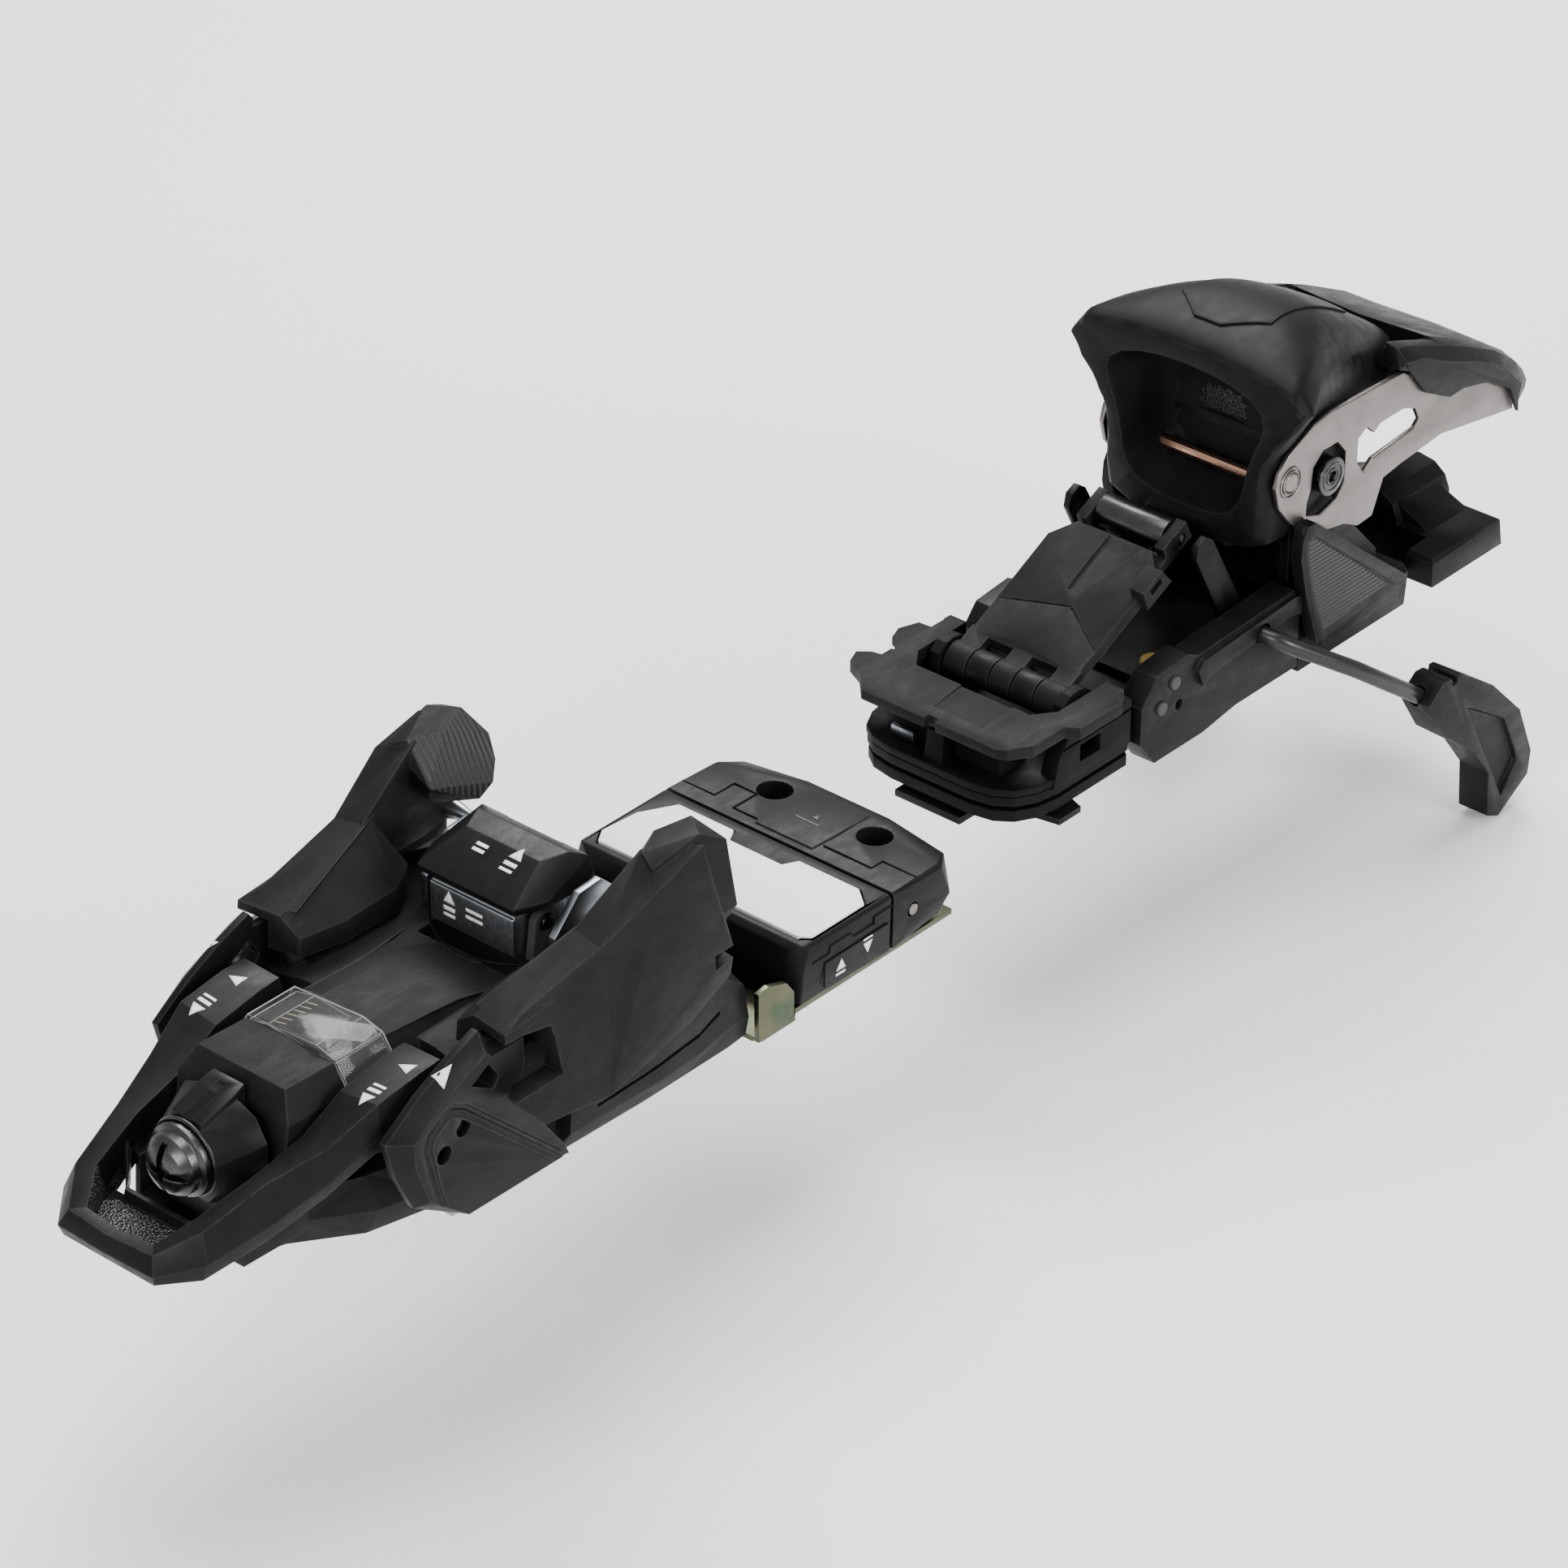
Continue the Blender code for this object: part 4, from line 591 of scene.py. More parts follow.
for side, s in SIDES:
    slab = solid("wing_front_" + side, [
        (38.2, -50.6, 48.6), (39.8, -17.0, 56.6), (46.3, -14.0, 25.8), (46.9, -26.5, 23.4), (46.6, -46.9, 26.4), (44.8, -54, 34.2),
        (26.8, -46.6, 48.4), (31.6, -17.0, 57.6), (42.4, -14, 27.0), (42.8, -26.5, 24.2), (42.6, -46.9, 27.0), (41.5, -53, 34.3)], s)
    blade = solid("wing_blade_" + side, [
        (39.6, -22, 55.2), (43.0, -5.0, 64.6), (42.4, 8.5, 68.4), (45.8, 7.5, 60.0), (46.6, 13.5, 41), (44.6, 14.5, 33), (45.6, 0, 28), (46.9, -26.5, 23.4),
        (31.4, -22, 56.0), (33.6, -2.0, 68.6), (36, 11, 62), (40, 14, 45), (40.5, 14, 33), (42.2, 0, 28.6), (42.8, -26.5, 24.2)], s)
    join(slab, blade)
    foot = solid("wing_foot_" + side, [
        (23.5, -49.5, 39.3), (23.5, -49.0, 44.0), (29, -49.6, 48.0), (40.0, -51.4, 48.4), (40.6, -52.0, 39.3), (20.6, -38, 39.3), (20.9, -38, 44.4), (20.2, -22, 39.3), (20.8, -22, 45.0),
        (24.2, -15.5, 39.3), (25.0, -14, 46.0), (40, -12, 39.3), (40, -12, 52), (32.0, -18, 56.5), (31.6, -34, 52.4), (29.6, -43, 49.4)], s)
    head = solid("wing_head_" + side, [
        (35.0, -3.0, 68.8), (39.4, -4.6, 67.2), (40.6, 9.0, 70.2), (34.2, 13.6, 70.0), (42.6, 15.6, 66.6), (29.4, 17.2, 63.6), (26.4, 16.0, 58.6), (24.8, 13.4, 54.4), (25.6, 9.8, 51.4),
        (28.4, -3.0, 58.6), (31.2, 5.0, 69.0), (44.6, 16.8, 50), (42, 16, 45.4), (40, 8, 45), (34, 12.5, 49.6), (36, 17.6, 56)], s)
    wing = join(slab, foot, head)
    # Room for the body's flank under the foot, and the notch for the cover's tab.
    cut(wing,
        solid("flank_room_" + side, [(x, y, z) for x in (10.0, 39.3) for y in (-60, 40) for z in (0, 38.95)], s),
        solid("notch_" + side, [(31.8, -64, 34.5), (60, -64, 34.5), (31.8, -64, 46.4), (60, -64, 46.9), (31.8, -39.0, 34.5), (60, -39.0, 34.5), (31.8, -39.2, 45.6), (60, -39.2, 45.6)], s),
        cyl("pin_room_" + side, "Z", (s * 28.5, -46), 30.0, 46.0, 2.9),
        solid("rear_slot_" + side, [(42.6, 7.4, 38.4), (60, 7.4, 38.4), (42.6, 7.4, 42.0), (60, 7.4, 42.0), (42.6, 30, 38.4), (60, 30, 38.4), (42.6, 30, 42.0), (60, 30, 42.0)], s))
    soften(wing, 1.0, angle=18, segments=3, smooth=30)
    wing.data.materials.append(MATS["ribbed"])
    for f in wing.data.polygons:
        c, n = f.center, f.normal
        if n.x * s < -0.45 and f.area > 4e-6 and c.y > -0.004 and c.z > 0.046:
            f.material_index = 1
    wing.name = "wing_" + side + "_finished"
    show(wing, "wing_" + side)

# ----------------------------------------------------- toe: the side covers
for side, s in SIDES:
    inner = [(-61.0, 5.5), (-75.5, 14.6), (-80.5, 25.0), (-83.0, 34.6), (-73.0, 41.2), (-65.0, 45.2), (-54.6, 49.2), (-53.3, 47.4), (-53.3, 45.4), (-43.2, 45.4), (-43.2, 36.2), (-46.0, 29.5), (-31.0, 9.8), (-29.6, 5.2)]
    outer = [(-62.2, 7.4), (-73.6, 16.6), (-77.4, 26.8), (-77.6, 33.4), (-70.0, 38.8), (-62.6, 42.2), (-55.6, 45.2), (-54.6, 44.6), (-54.0, 43.6), (-44.2, 43.6), (-44.2, 37.2), (-46.4, 29.3), (-32.4, 9.9), (-31.0, 6.8)]
    rings = [[(s * x, y, z) for y, z in pts] for x, pts in ((33.3, inner), (35.0, inner), (38.3, outer))]
    cover = loft("side_cover_" + side + "_finished", rings, "black_plastic")
    a, b = (30.0, 42.0) if s > 0 else (-42.0, -30.0)
    cut(cover,
        prism("window", "YZ", [(-60.4, 39.4), (-54.9, 42.4), (-51.9, 37.6), (-53.6, 35.4)], a, b),
        cyl("hole_a", "X", (-69.0, 26.3), a, b, 2.2),
        cyl("hole_b", "X", (-63.0, 30.3), a, b, 2.2))
    groove = tube("cover_groove", [(s * 38.5, y, z) for y, z in ((-70.0, 12.5), (-72.6, 21.9), (-74.6, 30.6), (-73.2, 33.6), (-68.6, 36.6), (-65.6, 36.9), (-62.0, 35.0), (-52.0, 25.6), (-33.0, 7.6), (-28.0, 3.0))], 0.75, "shadow", n=8)
    cut(cover, groove)
    soften(cover, 0.5, angle=20, segments=2)
    show(cover, "side_cover_" + side)
    # A ridge follows the groove inside.
    ridge = tube("cover_ridge_" + side, [(s * 38.15, y, z) for y, z in ((-68.6, 13.0), (-70.9, 21.6), (-72.4, 29.6), (-71.4, 32.0), (-67.8, 34.4), (-66.0, 34.6), (-63.2, 33.0), (-53.4, 24.0), (-36.0, 7.6))], 0.42, "black_plastic", n=8)
    detail(ridge, "side_cover_" + side)

# ------------------------------------------------------ toe: the entry lever
half = [
    [(0, -130.6, 14.8), (0, -131.8, 17.4), (0, -130.2, 20.9), (0, -127.4, 21.0), (0, -126.6, 18.0), (0, -124.0, 14.9)],
    [(13.6, -130.4, 14.6), (14.4, -131.2, 17.2), (12.6, -129.4, 21.2), (10.0, -126.6, 21.3), (9.6, -125.8, 18.0), (10.0, -124.0, 15.0)],
    [(20.6, -123.0, 15.2), (21.6, -122.6, 19.0), (19.0, -121.0, 25.6), (14.8, -118.8, 26.0), (13.2, -118.2, 20.0), (13.4, -118.0, 15.6)],
    [(23.4, -107.0, 17.8), (25.0, -106.4, 22.4), (22.2, -105.4, 31.0), (17.4, -104.4, 30.2), (16.9, -104.0, 25.0), (17.0, -104.0, 19.8)],
    [(27.2, -93.0, 23.4), (28.4, -92.4, 27.4), (26.6, -91.4, 34.6), (18.2, -90.6, 33.4), (17.8, -90.0, 29.0), (17.8, -90.0, 25.0)],
    [(30.0, -81.0, 29.4), (30.8, -80.4, 33.2), (29.4, -79.4, 40.6), (18.6, -79.4, 39.4), (18.3, -79.0, 33.0), (18.3, -79.0, 28.4)],
    [(30.4, -66.0, 25.6), (31.0, -66.0, 32.6), (29.6, -66.4, 42.2), (18.6, -66.4, 41.6), (18.3, -66.0, 33.0), (18.3, -66.0, 26.2)],
    [(30.2, -58.6, 27.2), (30.6, -59.0, 34.0), (29.2, -60.2, 42.2), (18.8, -60.2, 41.8), (18.3, -59.0, 35.0), (18.3, -58.6, 27.2)],
]
lever = loft("toe_lever_half", half, "black_plastic", caps=(False, True), tri=False)
mod = lever.modifiers.new("mirror", "MIRROR")
mod.merge_threshold = 1e-5
bake_modifiers(lever)
floor_plate = hull("dimple_floor_form", [(11.5, -128.4, 15.2), (16.0, -120.0, 15.6), (15.2, -114.8, 15.6), (11.5, -128.4, 16.8), (16.0, -120.0, 17.6), (15.2, -114.8, 17.6)], "black_plastic")
lip = hull("dimple_lip_form", [(10.6, -116.6, 15.4), (10.6, -115.0, 15.4), (9.6, -116.2, 20.6), (9.6, -115.2, 20.6)], "black_plastic")
join(lever, floor_plate, lip)
for s in (-1, 1):
    side_lip = solid("side_lip_form", [(9.4, -116.6, 15.4), (10.8, -115.4, 15.4), (9.0, -116.2, 20.6), (10.2, -115.2, 20.6), (15.0, -109.6, 16.4), (17.4, -108.0, 18.6), (14.4, -109.4, 24.2), (17.6, -107.6, 27.0)], s)
    join(lever, side_lip)
cut(lever, cyl("lever_bore", "X", (-63.0, 30.3), -40, 40, 2.6))
soften(lever, 0.8, angle=16, segments=3, smooth=28)
lever.name = "toe_lever_finished"
lever.data.materials.append(MATS["crackle"])
for f in lever.data.polygons:
    c, n = f.center, f.normal
    inward = -n.x * (1 if c.x > 0 else -1) > 0.25 or n.y > 0.35
    if inward and c.y < -0.112 and abs(c.x) < 0.0185 and 0.0150 < c.z < 0.0235:
        f.material_index = 1
show(lever, "toe_lever")
dimple = hull("lever_dimple_floor", [(8.6, -126.2, 16.7), (13.2, -119.6, 17.5), (11.0, -117.0, 17.5), (8.6, -126.2, 17.1), (13.0, -119.6, 17.9), (10.8, -117.2, 17.9)], "crackle")
detail(dimple, "toe_lever")


def bars(x, y, w=4.4, along=1):
    """A solid triangle over two bars, a plain direction sign."""
    k = along
    return [[(x - w / 2, y), (x + w / 2, y), (x, y + k * w * 0.9)],
            [(x - w / 2, y - k * 1.0), (x + w / 2, y - k * 1.0), (x + w / 2, y - k * 2.0), (x - w / 2, y - k * 2.0)],
            [(x - w / 2, y - k * 2.8), (x + w / 2, y - k * 2.8), (x + w / 2, y - k * 3.5), (x - w / 2, y - k * 3.5)]]


for side, s in SIDES:
    print_on("lever_marks_" + side, lever, bars(0, -1.6, 3.6, -1) + [[(-1.8, 9.0), (1.8, 11.2), (1.8, 7.6)]],
             (s * 25.4, -76.0, 45.0), (s * 1.0, 0.0, 0.0) if s > 0 else (1.0, 0, 0), (0.0, 1.0, 0.0), "toe_lever")
    print_on("cover_mark_" + side, bpy.data.objects["side_cover_" + side + "_finished"], [[(-2.4, -1.8), (2.6, 0.4), (-2.4, 2.0)]],
             (s * 36.4, -65.6, 44.6), (0.0, 1.0, 0.45) if s > 0 else (0.0, -1.0, -0.45), (-0.62, -0.15, 0.55) if s > 0 else (0.62, -0.15, 0.55), "side_cover_" + side)

# ------------------------------------------------- toe: collar, nose, window
collar = take("toe_collar")
cut(collar, hull("collar_front_form", [(11.6, -97.5, 17.0), (11.6, -97.5, 35.0), (8.5, -97.5, 40.0), (11.6, -94.2, 17.0), (11.6, -94.2, 35.0), (8.5, -94.2, 40.0)]))
soften(collar, 1.3, angle=18, segments=3)
show(collar)

nose_body = hull("toe_nose_cone_finished", [
    (11.6, -96.9, 18.0), (13.8, -96.7, 23.0), (13.8, -96.5, 32.4), (10.6, -96.3, 37.6), (5.2, -96.3, 39.8),
    (6.0, -107.0, 19.4), (9.0, -107.0, 23.2), (9.4, -107.0, 30.0), (7.6, -107.0, 33.8), (4.2, -107.0, 36.6)], "satin_black")
block_top = hull("nose_top_form", [(4.7, -106.4, 34.0), (4.7, -93.6, 34.0), (4.5, -106.2, 38.2), (4.5, -93.6, 42.0), (5.0, -97.0, 41.0)], "gloss_plastic")
join(nose_body, block_top, cyl("nose_plug", "Y", (0, 28.6), -98.0, -88.5, 8.4))
cut(nose_body, cyl("nose_bore", "Y", (0, 28.6), -112, -80, 3.5),
    hull("nose_groove", [(1.3, -110, 36.6), (1.3, -98.6, 40.2), (1.3, -110, 46.0), (1.3, -98.6, 46.0)]),
    hull("nose_nick", [(1.0, -99.2, 40.6), (1.0, -95.4, 41.0), (1.0, -99.2, 46.0), (1.0, -95.4, 46.0)]))
soften(nose_body, 0.45, angle=20, segments=2)
show(nose_body, "toe_nose_cone")
seat = tube("nose_seat_ring", [(9.0 * math.cos(i * math.pi / 18), -107.05, 28.6 + 9.0 * math.sin(i * math.pi / 18)) for i in range(36)], 0.5, "gloss_plastic", n=8, closed=True)
detail(seat, "toe_nose_cone")

window = take("din_window")
soften(window, 0.35, angle=24, segments=2)
show(window)
# Light grey wire strips along the window's edges: a painted highlight standing in for the clear shell's bright edge
# reflections.
rim = take("din_window", mat="window_edge_highlight", name="din_window_edge_highlight")
rim_bm = bmesh.new()
rim_bm.from_mesh(rim.data)
bmesh.ops.dissolve_limit(rim_bm, angle_limit=math.radians(16), verts=rim_bm.verts, edges=rim_bm.edges)
rim_bm.to_mesh(rim.data)
rim_bm.free()
wires = rim.modifiers.new("rim", "WIREFRAME")
wires.thickness = 0.36 * MM
wires.offset = -0.4
wires.use_even_offset = False
bake_modifiers(rim)
del rim["of_node"]
detail(rim, "din_window")
# The scale printed under the window: ticks at the slot's edge, one per setting.
ticks = []
for i in range(6):
    y0 = -73.4 + i * 1.9
    ticks += [[(-7.6, y0), (-4.4, y0 + 0.9), (-4.4, y0 + 1.25), (-7.6, y0 + 0.35)]]
for i in range(5):
    y0 = -72.8 + i * 2.2
    ticks += [[(9.6, y0), (12.0, y0), (12.0, y0 + 0.35), (9.6, y0 + 0.35)]]
scale_bm = bmesh.new()
for poly in ticks:
    scale_bm.faces.new([scale_bm.verts.new(v((x, y, 42.32 if abs(x) < 8 else 42.0 - (x - 7.0) * 0.28))) for x, y in poly])
scale = thicken(new_obj("din_scale_ticks", scale_bm, "gold_ink", recalc=False))
detail(scale, "din_window")

# ------------------------------------------------------------- toe: the body
body = take("toe_body")
cut(body, hull("flank_groove_right", [(36.8, -20, 12.0), (60, -20, 12.0), (36.8, 22, 14.0), (60, 22, 14.0), (36.8, -20, 13.0), (60, -20, 13.0), (36.8, 22, 15.2), (60, 22, 15.2)]))
soften(body, 1.4, angle=14, segments=3, smooth=26)
show(body)
rings_made = [ring("disc_line_outer", "Z", (0, -4), 38.66, 20.3, 0.26, "shadow")]
disc_lines = merge("disc_line", rings_made, "shadow")
detail(disc_lines, "toe_body")
spine = []
for s in (-1, 1):
    spine.append(tube("spine_line", [(s * 12.6, -60.6, 40.75), (s * 12.9, -48.0, 39.9), (s * 13.4, -38.0, 39.3), (s * 16.0, -25.0, 38.0)], 0.3, "matte_plastic", n=8))
detail(merge("spine_edges", spine, "matte_plastic"), "toe_body")

# ------------------------------------------------------ toe: the mode switch
cap = hull("mode_cap_finished", [
    (17.6, -13.6, 52.4), (14.2, -21.4, 52.4), (17.6, 0.4, 52.4), (17.7, -13.8, 54.2), (14.4, -21.7, 54.2), (17.7, 0.4, 54.6),
    (11.0, -9.6, 59.6), (13.6, -3.0, 60.1), (16.0, 0.8, 58.4)], "satin_black")
cut(cap, hull("cap_rear_form", [(9.0, 3.4, 50.0), (11.0, 6.0, 50.0), (9.0, 0.2, 62.0), (11.0, 6.0, 62.0), (7.0, -0.8, 62.0)]))
soften(cap, 0.55, angle=18, segments=3)
show(cap, "mode_cap")
lower = take("mode_block", mat="zinc_block")
cut(lower, hull("block_front_form", [(14.0, -24.0, 38.0), (14.0, -18.2, 38.0), (14.0, -24.0, 42.2)]))
soften(lower, 1.2, angle=24, segments=3)
show(lower)
print_on("cap_marks", cap, bars(5.4, 1.6, 3.6, 1) + [[(-5.6, -0.6), (-2.2, -0.6), (-2.2, 0.2), (-5.6, 0.2)], [(-5.6, 0.9), (-2.2, 0.9), (-2.2, 1.7), (-5.6, 1.7)]],
         (0.0, -16.2, 62.0), (1.0, 0.0, 0.0), (0.0, 0.78, 0.62), "mode_cap")
print_on("block_marks", lower, bars(-6.6, 0.2, 3.4, 1) + [[(-1.6, -1.4), (3.4, -1.4), (3.4, -0.6), (-1.6, -0.6)], [(-1.6, 0.4), (3.4, 0.4), (3.4, 1.2), (-1.6, 1.2)]],
         (0.0, -21.5, 46.2), (1.0, 0.0, 0.0), (0.0, 0.0, 1.0), "mode_block")

# ---------------------------------------------------------- toe: boot rest
front = take("afd_front")
soften(front, 0.9, angle=20, segments=3)
show(front)
rear = take("afd_rear")
panel = hull("afd_panel_form", [(9.4, 82.4, 15.0), (9.4, 104.0, 14.6), (8.6, 83.0, 17.75), (8.6, 103.4, 16.9), (9.0, 92.0, 17.6)], "black_plastic")
join(rear, panel)
soften(rear, 0.9, angle=18, segments=3)
show(rear)
pad = take("afd_pad")
soften(pad, 0.35, angle=24, segments=2)
show(pad)
seams = []
for pts in ([(-34.0, 86.0, 17.15), (-24.0, 86.0, 17.3), (-24.0, 93.0, 17.2), (-17.0, 93.0, 17.2), (-17.0, 84.6, 17.35), (-9.6, 84.6, 17.4)],
            [(34.0, 90.0, 17.1), (24.0, 90.0, 17.2), (24.0, 86.0, 17.3), (17.0, 86.0, 17.35), (9.6, 86.0, 17.35)]):
    seams.append(tube("seam", pts, 0.24, "shadow", n=6))
detail(merge("afd_seams_top", seams, "shadow"), "afd_rear")
seams = []
for s in (-1, 1):
    seams.append(tube("seam", [(s * 35.05, 53.0, 12.4), (s * 35.05, 58.6, 12.4), (s * 35.05, 58.6, 14.2), (s * 35.05, 66.0, 14.2), (s * 35.05, 67.0, 12.8), (s * 35.05, 74.0, 12.8), (s * 35.05, 74.0, 14.6), (s * 35.05, 80.2, 14.6)], 0.26, "shadow", n=6))
    seams.append(tube("seam", [(s * 34.86, 57.0, 4.0), (s * 35.05, 57.0, 10.4), (s * 35.05, 79.0, 10.4)], 0.22, "shadow", n=6))
detail(merge("afd_seams_side", seams, "shadow"), "afd_front")
for side, s in SIDES:
    print_on("afd_marks_" + side, front, [[(-4.6, -1.6), (-1.4, -1.6), (-3.0, 1.4)], [(-4.6, -3.0), (-1.4, -3.0), (-1.4, -2.3), (-4.6, -2.3)],
                                          [(4.6, 1.4), (7.8, 1.4), (6.2, -1.6)], [(4.6, 2.8), (7.8, 2.8), (7.8, 2.1), (4.6, 2.1)]],
             (s * 36.0, 66.0, 7.4), (0.0, s * 1.0, 0.0), (0.0, 0.0, 1.0), "afd_front", mat="white_ink")
    print_on("afd_top_marks_" + side, rear, [[(s * 0.6 - 1.2, -1.0), (s * 0.6 + 1.2, -1.0), (s * 0.6, 1.4)]] if s > 0 else [[(-4.0, 0.0), (4.0, 0.0), (4.0, 0.5), (-4.0, 0.5)]],
             (0.0, 94.0 if s > 0 else 91.0, 19.0), (1.0, 0.0, 0.0), (0.0, 1.0, 0.0), "afd_rear", mat="grey_ink")

tongue = hull("toe_base_tongue", [(16.4, -107.6, 8.0), (16.4, -80.0, 7.0), (16.4, -107.6, 11.8), (16.4, -80.0, 11.6)], "black_plastic")
for side, s in SIDES:
    join(tongue, solid("tongue_wall", [(15.0, -107.6, 8.2), (16.4, -107.6, 8.2), (15.0, -82.2, 8.2), (16.4, -82.2, 8.2), (15.0, -106.6, 21.6), (16.4, -106.6, 21.6), (15.0, -82.2, 23.4), (16.4, -82.2, 23.4)], s))
soften(tongue, 0.4, angle=24, segments=2)
detail(tongue, "toe_base_plate")

# ----------------------------------------------------------- heel: the cup
def smooth_form(obj, levels=2, crease=0.0, above=40.0):
    """The coarse form rounded off; edges sharper than `above` degrees keep a little of their line."""
    if crease:
        bm = bmesh.new()
        bm.from_mesh(obj.data)
        layer = bm.edges.layers.float.new("crease_edge")
        for e in bm.edges:
            if len(e.link_faces) == 2 and e.calc_face_angle(0.0) > math.radians(above):
                e[layer] = crease
        bm.to_mesh(obj.data)
        bm.free()
    mod = obj.modifiers.new("round", "SUBSURF")
    mod.levels = levels
    mod.render_levels = levels
    bake_modifiers(obj)
    return finish_mesh(obj, 40)


cup = symmetric_loft("heel_cup_finished", [
    (229.6, [(0, 38.4), (8.0, 38.2), (15.0, 38.6), (21.4, 41.0), (23.4, 48.0), (22.6, 57.0), (25.6, 66.0), (32.6, 73.4), (35.6, 78.4), (31.4, 83.4), (23.6, 85.4), (13.0, 86.4), (0, 86.8)]),
    (232.6, [(0, 35.4), (9.0, 35.2), (17.0, 35.6), (24.4, 39.4), (25.8, 48.0), (24.6, 57.0), (26.6, 66.0), (33.6, 74.0), (36.4, 79.0), (32.0, 85.0), (24.0, 87.4), (13.4, 88.6), (0, 89.0)]),
    (240.0, [(0, 34.6), (9.0, 34.6), (18.0, 34.8), (25.6, 39.6), (26.2, 48.0), (25.4, 57.0), (26.0, 66.0), (30.4, 75.0), (32.4, 81.0), (28.6, 86.6), (22.0, 89.4), (13.0, 90.8), (0, 91.2)]),
    (250.0, [(0, 39.0), (9.0, 39.0), (18.0, 39.2), (25.4, 43.6), (25.8, 52.0), (25.2, 60.0), (25.2, 68.0), (26.6, 75.0), (27.4, 81.0), (23.8, 87.4), (17.4, 90.6), (11.0, 92.0), (0, 92.6)]),
    (262.0, [(0, 46.4), (9.0, 46.4), (18.0, 46.6), (25.2, 49.0), (25.4, 56.0), (25.2, 62.0), (25.0, 68.0), (24.8, 73.4), (23.4, 79.0), (19.4, 84.4), (14.6, 87.6), (9.6, 88.8), (0, 89.4)]),
    (276.0, [(0, 51.6), (8.0, 51.6), (15.0, 51.8), (21.8, 54.6), (22.2, 59.0), (22.0, 63.0), (21.8, 67.0), (21.0, 71.0), (19.0, 75.4), (15.6, 79.0), (11.4, 81.2), (7.4, 82.0), (0, 82.6)]),
    (290.0, [(0, 56.2), (6.0, 56.2), (11.0, 56.4), (16.4, 58.4), (16.8, 60.4), (16.8, 62.4), (16.6, 64.6), (16.0, 66.8), (14.6, 69.4), (12.0, 71.6), (8.8, 72.8), (5.6, 73.2), (0, 73.6)]),
    (298.0, [(0, 59.2), (5.0, 59.2), (9.0, 59.3), (12.4, 60.2), (13.0, 61.2), (13.0, 62.2), (12.8, 63.4), (12.4, 64.6), (11.2, 66.0), (9.2, 67.2), (6.8, 67.8), (4.4, 68.0), (0, 68.2)]),
], "cup_shell")
smooth_form(cup, 2, 0.55, 30)
join(cup, hull("cup_chin", [(13.0, 231.0, 35.6), (10.0, 229.4, 39.6), (15.0, 231.6, 41.8), (9.0, 229.6, 41.6), (17.0, 239.0, 34.9), (16.0, 239.0, 42.0), (7.0, 232.0, 34.9)]))
mouth = symmetric_loft("cup_mouth_form", [
    (221.0, [(0, 41.6), (9.0, 42.0), (16.4, 44.4), (20.2, 49.6), (20.6, 59.0), (26.6, 69.0), (29.6, 76.4), (17.0, 82.4), (0, 83.4)]),
    (231.4, [(0, 43.4), (8.4, 43.6), (14.8, 45.4), (18.2, 50.4), (18.8, 59.6), (23.4, 68.6), (25.4, 76.0), (14.6, 81.2), (0, 82.2)]),
    (239.0, [(0, 47.4), (8.0, 47.6), (13.6, 48.8), (16.8, 53.0), (17.0, 61.0), (17.4, 69.6), (15.6, 76.0), (9.6, 79.0), (0, 79.8)]),
    (246.4, [(0, 47.6), (8.0, 47.8), (13.4, 49.0), (16.4, 53.0), (16.6, 61.0), (16.8, 69.0), (15.0, 75.0), (9.0, 77.6), (0, 78.2)]),
])
smooth_form(mouth, 1, 0.2, 60)
cut(cup, mouth,
    box("under_room", (-21.9, 21.9), (248.8, 312.0), (8.0, 58.5)),
    cyl("axle_room", "X", (252.5, 51.6), -34, 34, 3.9), cyl("rod_room", "X", (242.0, 50.4), -20.9, 20.9, 1.8),
    cyl("screw_room", "Y", (0, 63.6), 262.0, 312.0, 3.7))
for side, s in SIDES:
    a, b = sorted((s * 18.2, s * 21.9))
    c, d = sorted((s * 25.5, s * 44.0))
    cut(cup, box("cheek_slot", (a, b), (244.2, 260.0), (8.0, 60.4)), cyl("rivet_room", "X", (237.0, 56.0), *sorted((s * 19.6, s * 44.0)), 2.9),
        prism("plate_seat", "YZ", [(228, 46), (234, 40), (252, 33), (268, 30), (300, 30), (300, 68), (282, 69), (269, 69.6), (253, 70.2), (245.6, 69.2), (239, 66.4), (234, 64.4), (229, 60.6)], c, d))
soften(cup, 0.7, angle=38, segments=2, smooth=42)
show(cup, "heel_cup")

# The raised panel along the cup's back: the shell's own surface, trimmed and lifted.
panel_bm = bmesh.new()
panel_bm.from_mesh(bpy.data.objects["heel_cup_finished"].data)
panel_bm.normal_update()
bmesh.ops.delete(panel_bm, geom=[f for f in panel_bm.faces if f.normal.z < 0.35 or f.calc_center_median().z < 0.0775], context="FACES")
for point, out in (((0, 237.5, 0), (0, -1, 0)), ((0, 283.0, 0), (0, 1, 0)),
                   ((14.6, 237.5, 0), (1, 0.14, 0)), ((-14.6, 237.5, 0), (-1, 0.14, 0)),
                   ((14.6, 246.0, 0), (0.8, -1, 0)), ((-14.6, 246.0, 0), (-0.8, -1, 0))):
    bmesh.ops.bisect_plane(panel_bm, geom=panel_bm.verts[:] + panel_bm.edges[:] + panel_bm.faces[:], plane_co=v(point), plane_no=Vector(out).normalized(), clear_outer=True)
panel = new_obj("cup_top_panel", panel_bm, "cup_shell", recalc=False)
lift = panel.modifiers.new("lift", "SOLIDIFY")
lift.thickness = 0.95 * MM
lift.offset = 0.15
bake_modifiers(panel)
soften(panel, 0.3, angle=50, segments=2, smooth=48)
for vert in panel.data.vertices:
    vert.co.z = min(vert.co.z, 0.0936)
detail(panel, "heel_cup")
